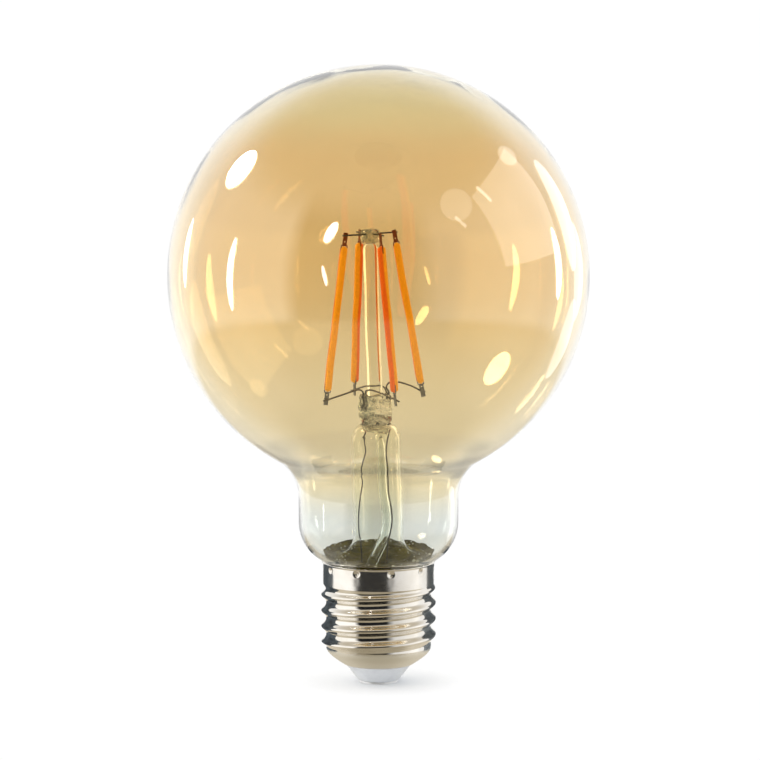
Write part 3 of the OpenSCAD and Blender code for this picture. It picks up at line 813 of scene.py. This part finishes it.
PRESS_LUMPS = [    # both ends, both radii, place and roundness of each lump, in mm
    (58.8, 64.4, 2.6, 1.8, 0.3, 0, 0.5),
    (60.4, 66.1, 1.35, 1.5, -2.4, -0.1, 0.8),
    (59.6, 63.2, 1.6, 1.7, -2.05, 0.1, 0.7),
    (60.2, 65.9, 1.15, 1.3, 2.7, 0, 0.8),
    (59.2, 61.9, 1.1, 1.4, 2.5, -0.2, 0.7),
    (62.6, 65.8, 2.1, 1.9, 0, 0, 0.7),
]


def make_press(glass):
    """Flat pinched block at the top of the stem, melted round its wires and full of small bubbles."""
    blobs = [column(PRESS_Z, 60.6 * MM, PLUG_R, PLUG_R, round_over=0.6)]
    for low, high, rx, ry, x, y, round_over in PRESS_LUMPS:
        blobs.append(column(low * MM, high * MM, rx * MM, ry * MM, x * MM, y * MM, round_over=round_over))
    press = join_blobs("press_glass", blobs, glass, 0.34 * MM)
    add_bubbles(press)
    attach(press, "root")
    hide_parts("stem_press")
    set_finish(press, "stem_glass")


ROD_ROUND = 0.9 * MM    # sets how far the rod's ends are rounded


def make_rod(glass):
    low, high = PRESS_TOP_Z + GAP, BUTTON_Z - GAP
    path, radii = [], []
    steps = 60
    for i in range(steps + 1):
        t = i / steps
        z = low + (high - low) * t
        path.append(lean((0, 0, z)))
        end = min(t, 1 - t) * (high - low)
        wave = 1 + 0.02 * noise.noise(Vector((0, 0, z * 160)))
        radii.append(ROD_R * min(1.0, 0.55 + end / ROD_ROUND) * wave)
    rod = tube("support_rod_glass", path, radii, (0, 1, 0), 48, glass)
    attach(rod, "root")
    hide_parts("support_rod")
    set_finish(rod, "stem_glass")


def melted_glass():
    """Glass that was pinched while soft: wrinkled all over, and painted greyish over its left side as shade.
    """
    look = glass_look("melted_glass", (0.9, 0.91, 0.86), 1.5)
    wrinkles = look.noise(800, 3, distortion=1.2)
    # Painted shade: the glass is greyer towards the left side of the press
    painted_grey_shade = look.ramp(wrinkles, [(0.4, (0.16, 0.2, 0.18)), (0.6, (0.8, 0.84, 0.78))])
    clear = look.ramp(wrinkles, [(0.3, (0.6, 0.6, 0.5)), (0.5, (0.98, 0.98, 0.94))])
    look.drive("Base Color", look.mix(look.span(look.along("X"), -2.2 * MM, 0.2 * MM), painted_grey_shade, clear))
    look.bump(wrinkles, 0.35 * MM)
    return look.material


LUG_R = 0.7 * MM    # one for each anchor wire, at this distance from the rod's axis
LUG_AT_R = 1.5 * MM


def make_button(glass):
    """Glass bead on the rod, with the four anchor wires melted into it."""
    blobs = [column(BUTTON_Z, BUTTON_Z + BUTTON_H, BUTTON_R, BUTTON_R, round_over=0.15)]
    low, high = BUTTON_Z + 0.7 * MM, BUTTON_Z + BUTTON_H - 0.4 * MM
    for angle in FILAMENT_ANGLES:
        x, y = LUG_AT_R * math.cos(angle), LUG_AT_R * math.sin(angle)
        blobs.append(column(low, high, LUG_R, LUG_R, x, y))
    button = join_blobs("button_glass", blobs, glass, 0.14 * MM)
    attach(button, "root")
    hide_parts("rod_button")
    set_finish(button, "stem_glass")


EXHAUST_TOP = (1.1 * MM, 0, 58 * MM)
EXHAUST_BENDS = [    # in mm
    (0.75, 0, 50), (1.1, 0.1, 44), (1.7, 0.4, 39.5), (1.9, 0.5, 36.5), (1.35, 0.1, 33), (0.4, -0.9, 30.8),
    (-1.1, -2.45, 27.7), (-2.6, -4, 24.6),
]


def make_exhaust(glass):
    """The tube that the lamp was pumped through, melted shut at its lower end."""
    path = smooth_curve([lean(EXHAUST_TOP)] + [Vector(p) * MM for p in EXHAUST_BENDS], 8)
    sides = 32
    last = len(path) - 1
    tip = [max(0.0, i - last + 5) ** 2 / 26 for i in range(last + 1)]
    radii = [EXHAUST_R * math.sqrt(max(0.05, 1 - shut)) for shut in tip]
    radii[:3] = [2.3 * MM, 1.7 * MM, 1.3 * MM]    # it widens where it is fused to the press
    verts = tube_rings(path, radii, (0, 1, 0), sides)
    faces = ring_faces(len(path), sides)
    bore = path[2:-8]
    bore_radii = [0.1 * MM, 0.4 * MM, 0.6 * MM] + [EXHAUST_BORE_R] * (len(bore) - 3)
    inner = tube_rings(bore, bore_radii, (0, 1, 0), sides)
    faces += [tuple(reversed(f)) for f in ring_faces(len(bore), sides, first=len(verts))]
    exhaust = add_object("exhaust_glass_tube", verts + inner, faces, glass)
    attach(exhaust, "root")
    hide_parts("exhaust_tube")
    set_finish(exhaust, "exhaust_glass")


# ---- filaments ----

def at_filament(n, p):
    """From a filament's own frame to the lamp's: z runs from the lower weld up, x points outwards."""
    x, y, z = p
    c, s = math.cos(FILAMENT_TILT), math.sin(FILAMENT_TILT)
    out = BOTTOM_RING_R + x * c - z * s
    up = BOTTOM_WELD_Z + x * s + z * c
    a = FILAMENT_ANGLES[n]
    return lean((out * math.cos(a) - y * math.sin(a), out * math.sin(a) + y * math.cos(a), up))


PHOSPHOR = (0.98, 0.42, 0.012)
PHOSPHOR_PAINTED_SHADE = (0.9, 0.16, 0.008)
PAINTED_SHADE_SIDE = (-1, -1, -1, 1)    # which side of each filament is painted redder and darker, as shade
COAT_ROUND = 0.75 * MM        # length of a coat's rounded end


def phosphor(n):
    """Silicone full of phosphor, with a painted glow. One side is painted redder and darker, as shade."""
    look = Look(f"phosphor_{n + 1}", PHOSPHOR, 0.42)
    look.set("Emission Strength", 0.38)    # painted glow: the phosphor glows a little, brightening the coat
    look.set("Specular IOR Level", 0.3)
    around = look.nodes.new("ShaderNodeAttribute")
    around.attribute_name = "side"
    grain = look.noise(2600, 4)
    patches = look.noise(130, 2)
    fleck = look.math("MULTIPLY", look.math("SUBTRACT", patches, 0.5), 0.25)
    side = look.math("ADD", around.outputs["Fac"], fleck)
    # Painted shade: one side of each coat is redder and darker
    tone = look.ramp(look.span(side, 0.38, 0.6), [(0.0, PHOSPHOR_PAINTED_SHADE), (1.0, PHOSPHOR)])
    dust = look.ramp(grain, [(0.35, (0.86, 0.86, 0.86)), (0.6, (1, 1, 1))])
    tone = look.mix(1.0, tone, dust, "MULTIPLY")
    look.drive("Base Color", tone)
    look.drive("Emission Color", tone)
    look.drive("Roughness", look.span(grain, 0.3, 0.7, 0.35, 0.5))
    look.bump(grain, 0.02 * MM)
    return look.material


def make_coat(n):
    """Phosphor coat with rounded ends and slightly wavy sides, as it sets when it is poured."""
    sides, rows = 28, 90
    length = COAT_END - COAT_START
    verts, painted_shade_share = [], []
    for i in range(rows + 1):
        s = length * (i / rows)
        end = min(s, length - s)
        swell = math.sqrt(max(0.0, 1 - (1 - end / COAT_ROUND) ** 2)) if end < COAT_ROUND else 1.0
        swell = max(0.12, swell)
        for a in turn(sides):
            c, q = math.cos(a), math.sin(a)
            wave = 1 + 0.035 * noise.noise(Vector((c, q, n * 9 + s * 260)))
            across = math.copysign(abs(c) ** 0.85, c) * COAT_W / 2 * swell * wave
            thick = math.copysign(abs(q) ** 0.85, q) * COAT_T / 2 * swell * wave
            verts.append(at_filament(n, (across, thick, COAT_START + s)))
            painted_shade_share.append(0.5 - 0.5 * PAINTED_SHADE_SIDE[n] * q)
    coat = add_object(f"coat_{n + 1}", verts, ring_faces(rows + 1, sides), phosphor(n))
    attribute = coat.data.attributes.new("side", "FLOAT", "POINT")
    attribute.data.foreach_set("value", painted_shade_share)
    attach(coat, "root")
    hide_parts(f"filament_coat_{n + 1}")
    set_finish(coat, "phosphor")


# ---- wires ----

def radial(n):
    return Vector((math.cos(FILAMENT_ANGLES[n]), math.sin(FILAMENT_ANGLES[n]), 0))


def tangential(n):
    return Vector((-math.sin(FILAMENT_ANGLES[n]), math.cos(FILAMENT_ANGLES[n]), 0))


SUPPORT_STARTS = [LEAD_X[n % 2] + aside * MM for n, aside in enumerate((-0.25, -0.25, 0.25, 0.25))]
SUPPORT_FOOT_Z = [62 * MM, 64.2 * MM, 62 * MM, 64.2 * MM]    # how deep each wire sits in the press
SUPPORT_BENDS = [    # way of each wire from its channel in the press to its weld, in mm
    [(-2.6, -0.05, 66.25), (-3.2, -0.5, 66.9), (-4.2, -1, 66.9), (-7, -2.6, 66.2)],
    [(2.55, 0.3, 66.25), (1.9, 1.9, 67.1), (0.2, 3, 67.4), (-1.8, 4.8, 67.1), (-3.7, 8.2, 66.2)],
    [(-2, -0.2, 66.25), (-1.75, -1.3, 66.8), (-0.6, -2.5, 67), (1.6, -5.6, 66.5)],
    [(3.1, -0.05, 66.25), (2.6, -0.1, 67.2), (3, 0.4, 68), (3.8, 0.9, 68.2), (5.7, 1.8, 68),
     (8.5, 3.3, 66.8)],
]


def make_support_wire(n, metal):
    start = Vector((SUPPORT_STARTS[n], 0, SUPPORT_FOOT_Z[n]))
    out = (CLIP_T / 2 + SUPPORT_WIRE_R + 0.09 * MM) * tangential(n)
    weld = BOTTOM_RING_R * radial(n) + out + Vector((0, 0, BOTTOM_WELD_Z))
    points = [start, Vector((start.x, 0, 65.3 * MM))] + [Vector(bend) * MM for bend in SUPPORT_BENDS[n]]
    points += [weld, weld + 0.9 * MM * radial(n) - Vector((0, 0, 0.1 * MM))]
    path = [lean(p) for p in smooth_curve(points, 8)]
    side = Vector((0, 0, 1)).cross(path[-1] - path[0])
    radii = [SUPPORT_WIRE_R * 0.92] * len(path)
    radii[0] = radii[-1] = SUPPORT_WIRE_R * 0.75
    wire = tube(f"support_wire_bent_{n + 1}", path, radii, side, 16, metal)
    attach(wire, "root")
    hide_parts(f"support_wire_{n + 1}")
    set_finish(wire, "nickel_wire")


# ---- cap ----

def shell_radius(angle, z):
    """Outside of the shell: quarter-round cone, rounded helical thread, smooth collar, flared lip."""
    root = THREAD_R - THREAD_DEPTH
    if z < THREAD_LOW_Z:
        t = (z - SHELL_LOW_Z) / (THREAD_LOW_Z - SHELL_LOW_Z)
        return SHELL_LOW_R + (root - SHELL_LOW_R) * math.sin(t * math.pi / 2)
    if z < THREAD_HIGH_Z:
        turns = (z - THREAD_PHASE) / THREAD_PITCH - angle / (2 * math.pi)
        wave = ((1 + math.cos(2 * math.pi * turns)) / 2) ** 1.5
        up = fade(z, THREAD_LOW_Z, THREAD_LOW_Z + 1 * MM)
        down = 1 - fade(z, THREAD_HIGH_Z - THREAD_END, THREAD_HIGH_Z)
        return root + (COLLAR_R - root) * (1 - down) + THREAD_DEPTH * wave * up * down
    return COLLAR_R + LIP_FLARE * fade(z, CAP_TOP_Z - 0.45 * MM, CAP_TOP_Z) ** 2


LIP_R = SKIRT_R + 0.06 * MM    # the rim is pressed in against the glass
LIP_Z = (CAP_TOP_Z - 0.35 * MM, CAP_TOP_Z - 0.1 * MM)
CRIMP_COUNT = 10
CRIMP_Z = 26.5 * MM
CRIMP_FIRST = math.radians(-77)
CRIMP_R = 0.5 * MM
CRIMP_DEPTH = 0.42 * MM
CRIMP_FROM_Z = THREAD_HIGH_Z + 1 * MM
PULLED_R = 0.7 * MM    # the metal is drawn in a little under each dent
PULLED_H = 4 * MM


def crimp(angle, z, r):
    """Depth of the punched dents that hold the shell in the cement."""
    step = 2 * math.pi / CRIMP_COUNT
    off = (angle - CRIMP_FIRST + step / 2) % step - step / 2
    d = math.hypot(off * r, z - CRIMP_Z) / CRIMP_R
    below = fade(z, CRIMP_Z - PULLED_H, CRIMP_Z) * (z < CRIMP_Z)
    pulled = 0.1 * math.exp(-(off * r / PULLED_R) ** 2) * below
    raised = 0.1 * math.exp(-(d - 1.7) ** 2 * 3)
    return CRIMP_DEPTH * (math.exp(-d * d) + pulled - raised)


def cap_nickel():
    """Bright nickel on the thread, satin on the collar, dull and warm on the cone."""
    look = Look("cap_nickel", (0.8, 0.77, 0.72), 0.1, 1.0)
    z = look.along("Z")
    cone = look.span(z, THREAD_LOW_Z - 0.7 * MM, THREAD_LOW_Z + 0.1 * MM, 1.0, 0.0)
    collar = look.span(z, THREAD_HIGH_Z - 0.3 * MM, THREAD_HIGH_Z + 0.3 * MM)
    scratches = look.noise(900, 4, (1, 1, 8))
    blotches = look.noise(220, 3)
    tone = look.ramp(blotches, [(0.3, (0.74, 0.7, 0.63)), (0.7, (0.84, 0.81, 0.76))])
    look.drive("Base Color", look.mix(cone, tone, (0.9, 0.88, 0.83)))
    rough = look.math("ADD", look.math("MULTIPLY", cone, 0.4), look.math("MULTIPLY", collar, 0.1))
    rough = look.math("ADD", rough, look.span(scratches, 0.3, 0.75, 0.05, 0.13))
    look.drive("Roughness", rough)
    look.bump(scratches, 0.003 * MM)
    return look.material


def shell_point(angle, z, inside):
    r = shell_radius(angle, z)
    if inside:
        r -= SHELL_WALL
    if z > CRIMP_FROM_Z:
        r -= crimp(angle, z, r)
    if inside:
        r += (LIP_R - r) * fade(z, *LIP_Z)
    return Vector((r * math.cos(angle), r * math.sin(angle), z))


def make_cap():
    sides = 480
    cone = even(SHELL_LOW_Z, THREAD_LOW_Z, 14)[:-1]
    thread = even(THREAD_LOW_Z, THREAD_HIGH_Z, 96)
    collar = even(THREAD_HIGH_Z, CAP_TOP_Z, 60)[1:]
    outer = cone + thread + collar
    inner = (cone[::3] + thread[::3] + collar[::4] + [CAP_TOP_Z])[::-1]
    around = turn(sides)
    verts = [shell_point(a, z, False) for z in outer for a in around]
    verts += [shell_point(a, z, True) for z in inner for a in around]
    faces = ring_faces(len(outer) + len(inner), sides, loop=True)
    shell = add_object("screw_shell", verts, faces, cap_nickel())
    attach(shell, "root")
    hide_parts("cap_shell")
    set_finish(shell, "cap_nickel")


def make_insulator(plastic):
    """White tip: a cone with a rounded rim, on the disc that closes the shell."""
    outline = (
        [(1.05, 0.45)]
        + arc((4.3, 1.15), 0.75, 0.75, 270, 325, 6)
        + [(6.2, 2.35), (7.3, 3.8)]
        + arc((7.15, 4.05), 0.35, 0.35, 330, 370, 4)
        + [(7.55, 4.75), (8.5, 5), (9.3, 5.8), (9.2, 6.1), (1.05, 6.1)]
    )
    piece = lathe("insulator", [(r * MM, z * MM) for r, z in outline], 128, plastic)
    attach(piece, "root")
    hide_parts("cap_insulator")
    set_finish(piece, "insulator_plastic")


# ---- cement ----

CEMENT_FLOOR_Z = 26.3 * MM
CEMENT_FRONT_Z = 28.4 * MM    # where the paste ends on the glass, at the front and at the back
CEMENT_BACK_Z = 29.6 * MM
NECK_INSIDE_R = SHOULDER_R - GLASS_WALL - GAP
UNDER_GLASS_Z = 24.97 * MM
BUBBLE_COUNT = 80
SMALL_BUBBLE = (0.1, 0.22)    # radii in mm
LARGE_BUBBLE = (0.3, 0.45)
SMALL_SHARE = 0.8             # of all bubbles


def cement_edge(angle):
    """Radius and height of the paste's ragged edge on the inside of the glass."""
    z = CEMENT_FRONT_Z + (CEMENT_BACK_Z - CEMENT_FRONT_Z) * ((1 + math.sin(angle)) / 2) ** 2
    z += 0.5 * MM * abs(noise.noise(Vector((3 * math.cos(angle), 3 * math.sin(angle), 5))))
    return NECK_R - SHOULDER_R + math.sqrt(NECK_INSIDE_R ** 2 - (NECK_FOOT_Z - z) ** 2), z


def cement_top(share, angle):
    """A point on the paste: a lumpy bowl that reaches the glass at share 1."""
    edge_r, edge_z = cement_edge(angle)
    x, y = edge_r * share * math.cos(angle), edge_r * share * math.sin(angle)
    lumps = 0.5 * noise.noise(Vector((x, y, 0)) * 260) + 0.25 * noise.noise(Vector((x, y, 0)) * 900)
    steep = 4 - 3.2 * (1 + math.sin(angle)) / 2    # a narrow bank at the front, a broad one at the back
    bowl = CEMENT_FLOOR_Z + (edge_z - CEMENT_FLOOR_Z) * share ** steep
    return Vector((x, y, bowl + lumps * MM * (1 - share ** 4)))


BALL_RINGS = 7
BALL_SIDES = 12


def ball(centre, radius):
    """Rings of points on a ball, without its two ends."""
    points = []
    for i in range(1, BALL_RINGS + 1):
        b = math.pi * i / (BALL_RINGS + 1)
        for a in turn(BALL_SIDES):
            out = Vector((math.sin(b) * math.cos(a), math.sin(b) * math.sin(a), -math.cos(b)))
            points.append(centre + radius * out)
    return points


def make_cement(material, bubble_glint):
    """Cured paste, frothed up inside the neck and hollow round the exhaust tube."""
    low_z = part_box("basing_cement")[0].z
    glass_r = SKIRT_R - GLASS_WALL - GAP
    seal_z = NECK_FOOT_Z - math.sqrt(NECK_INSIDE_R ** 2 - (glass_r - NECK_R + SHOULDER_R) ** 2)
    outline = [    # from the middle of the underside, out to the shell and up round the end of the glass
        (0.3 * MM, low_z), (11.55 * MM, low_z), (11.55 * MM, THREAD_HIGH_Z - THREAD_END),
        (12.1 * MM, THREAD_HIGH_Z + 0.5 * MM), (12.1 * MM, CAP_TOP_Z - 0.9 * MM),
        (11.75 * MM, CAP_TOP_Z - 0.9 * MM), (11.75 * MM, UNDER_GLASS_Z),
        (10.85 * MM, UNDER_GLASS_Z), (10.85 * MM, seal_z),
    ]
    sides, top_rows = 240, 24
    verts = turned(outline, sides)
    for i in range(top_rows):
        share = 1 - 0.98 * i / (top_rows - 1)
        verts += [cement_top(share, a) for a in turn(sides)]
    faces = ring_faces(len(outline) + top_rows, sides)
    plain = len(faces)
    for _ in range(BUBBLE_COUNT):
        sizes = SMALL_BUBBLE if rng.random() < SMALL_SHARE else LARGE_BUBBLE
        radius = rng.uniform(*sizes) * MM
        share = rng.uniform(0.6, 0.96)
        centre = cement_top(share, rng.uniform(0, 2 * math.pi)) + Vector((0, 0, 0.4 * radius))
        faces += ring_faces(BALL_RINGS, BALL_SIDES, first=len(verts))
        verts += ball(centre, radius)
    piece = add_object("cement_fill", verts, faces, material)
    # The bubbles wear a pale colour: painted highlights
    piece.data.materials.append(bubble_glint)
    for face in piece.data.polygons[plain:]:
        face.material_index = 1
    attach(piece, "root")
    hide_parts("basing_cement")
    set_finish(piece, "cement")


def cement_look():
    look = Look("cement_paste", (0.05, 0.045, 0.005), 0.5)
    look.set("Specular IOR Level", 0.12)
    clouds = look.noise(240, 5, distortion=0.4)
    froth = look.cells(620)
    tone = look.ramp(clouds, [
        (0.3, (0.035, 0.03, 0.0)), (0.55, (0.1, 0.086, 0.001)), (0.8, (0.22, 0.19, 0.03))])
    # Painted highlights: pale dots, as glints on the froth's bubbles
    bubbles = look.span(froth, 0.05, 0.11, 1.0, 0.0)
    look.drive("Base Color", look.mix(bubbles, tone, (0.85, 0.85, 0.75)))
    look.bump(froth, 0.15 * MM)
    return look.material


# ---- carried-over CAD nodes ----

def four(stem):
    return [f"{stem}_{n}" for n in range(1, 5)]


# Name, two colours, grain, roughness, metallic and bevel in mm of each material, and the nodes that wear it
DRESSES = [
    ("browned_steel", (0.2, 0.055, 0.02), (0.32, 0.13, 0.06), 1500, 0.35, 1.0, 0.04, four("top_clip")),
    ("bare_steel", (0.16, 0.17, 0.19), (0.3, 0.31, 0.33), 1500, 0.35, 1.0, 0.04, four("bottom_clip")),
    ("fired_ceramic", (0.82, 0.8, 0.74), (0.88, 0.87, 0.83), 1200, 0.5, 0.0, 0, four("filament_strip")),
    ("sapphire_chip", (0.42, 0.55, 0.75), (0.55, 0.68, 0.85), 900, 0.15, 0.0, 0, four("led_chips")),
    ("nickel_wire", (0.1, 0.095, 0.09), (0.2, 0.19, 0.18), 1800, 0.38, 1.0, 0, four("anchor_wire")),
    ("seal_wire", (0.4, 0.08, 0.05), (0.5, 0.16, 0.1), 1500, 0.45, 0.6, 0,
     ["seal_wire_left", "seal_wire_right"]),
    ("lead_wire", (0.05, 0.05, 0.055), (0.1, 0.1, 0.11), 1600, 0.42, 0.8, 0,
     ["lead_wire_left", "lead_wire_right"]),
    ("contact_plate", (0.78, 0.78, 0.77), (0.86, 0.86, 0.86), 700, 0.4, 0.4, 0.1, ["centre_contact"]),
    ("sleeve_plastic", (0.76, 0.76, 0.7), (0.82, 0.82, 0.78), 500, 0.5, 0.0, 0, ["insulating_sleeve"]),
    ("board_laminate", (0.02, 0.14, 0.05), (0.04, 0.2, 0.08), 1400, 0.35, 0.0, 0.05, ["driver_board"]),
    ("black_epoxy", (0.012, 0.012, 0.013), (0.03, 0.03, 0.032), 1600, 0.55, 0.0, 0.05,
     ["bridge_rectifier", "driver_chip", "chip_resistors"]),
    ("capacitor_sleeve", (0.01, 0.015, 0.07), (0.02, 0.03, 0.1), 600, 0.2, 0.0, 0, ["input_capacitor"]),
    ("ferrite", (0.03, 0.03, 0.032), (0.07, 0.07, 0.07), 1800, 0.7, 0.0, 0.08, ["choke_core"]),
    ("resistor_coat", (0.05, 0.22, 0.1), (0.09, 0.3, 0.15), 900, 0.4, 0.0, 0, ["fusible_resistor"]),
    ("live_insulation", (0.42, 0.02, 0.015), (0.5, 0.04, 0.03), 900, 0.4, 0.0, 0, ["live_wire"]),
    ("neutral_insulation", (0.02, 0.1, 0.36), (0.04, 0.14, 0.42), 900, 0.4, 0.0, 0, ["neutral_wire"]),
    ("tinned_can", (0.5, 0.5, 0.48), (0.6, 0.6, 0.58), 900, 0.35, 1.0, 0.06, ["wireless_module"]),
    ("antenna_enamel", (0.5, 0.24, 0.05), (0.6, 0.34, 0.1), 1200, 0.3, 1.0, 0, ["wireless_antenna"]),
]


def dress(node, material, bevel=0.0):
    piece = frame["nodes"][node]
    piece.data.materials.clear()
    piece.data.materials.append(material)
    if bevel:
        edge = piece.modifiers.new("edge", "BEVEL")
        edge.width = bevel
        edge.segments = 2
        edge.limit_method = "ANGLE"
        edge.harden_normals = False


def dress_nodes():
    for name, color, other, grain, roughness, metallic, bevel, nodes in DRESSES:
        material = speckled(name, color, other, grain, roughness, metallic)
        for node in nodes:
            dress(node, material, bevel * MM)
    dress("choke_winding", winding_look())


def winding_look():
    """Turns of enamelled copper wire round the choke."""
    look = Look("copper_winding", (0.6, 0.22, 0.07), 0.25, 1.0)
    turns = look.nodes.new("ShaderNodeTexWave")
    turns.bands_direction = "Y"
    turns.inputs["Scale"].default_value = 900
    look.links.new(look.place, turns.inputs["Vector"])
    # Painted shade: darker between the turns, where the grooves lie
    tone = look.ramp(turns.outputs["Fac"], [(0.1, (0.25, 0.07, 0.02)), (0.6, (0.72, 0.3, 0.1))])
    look.drive("Base Color", tone)
    look.bump(turns.outputs["Fac"], 0.1 * MM)
    return look.material


# ---- the scene ----

scene = bpy.context.scene
scene.view_settings.view_transform = "Standard"
scene.cycles.max_bounces = 32
scene.cycles.transmission_bounces = 32
scene.cycles.glossy_bounces = 8

make_camera()
make_world()
make_floor()
make_flags()

stem_glass = clear_glass("stem_glass", (0.95, 0.95, 0.91), (0.9, 0.91, 0.86), 0.02 * MM, sunk=True)
exhaust_glass = clear_glass("exhaust_glass", (0.97, 0.99, 0.975), (0.94, 0.975, 0.955), 0.02 * MM)
steel_wire = speckled("support_wire", (0.1, 0.1, 0.105), (0.22, 0.215, 0.21), 1800, 0.35, 1.0)

make_globe()
make_stem(stem_glass)
wrinkled_glass = melted_glass()
make_press(wrinkled_glass)
make_rod(stem_glass)
make_button(wrinkled_glass)
make_exhaust(exhaust_glass)
for index in range(4):
    make_coat(index)
    make_support_wire(index, steel_wire)
make_lights(collect("glass_pieces", "amber_glass", "stem_glass", "exhaust_glass"))
make_inner_lights(collect("mount_glass", "stem_glass", "exhaust_glass"))
make_cap()
make_insulator(speckled("insulator_plastic", (0.67, 0.69, 0.72), (0.73, 0.75, 0.78), 700, 0.4))
# The paste's bubbles are painted pale, as their highlights
make_cement(cement_look(), speckled("cement_bubble_glint", (0.75, 0.73, 0.56), (0.95, 0.95, 0.85), 1500, 0.1))
dress_nodes()
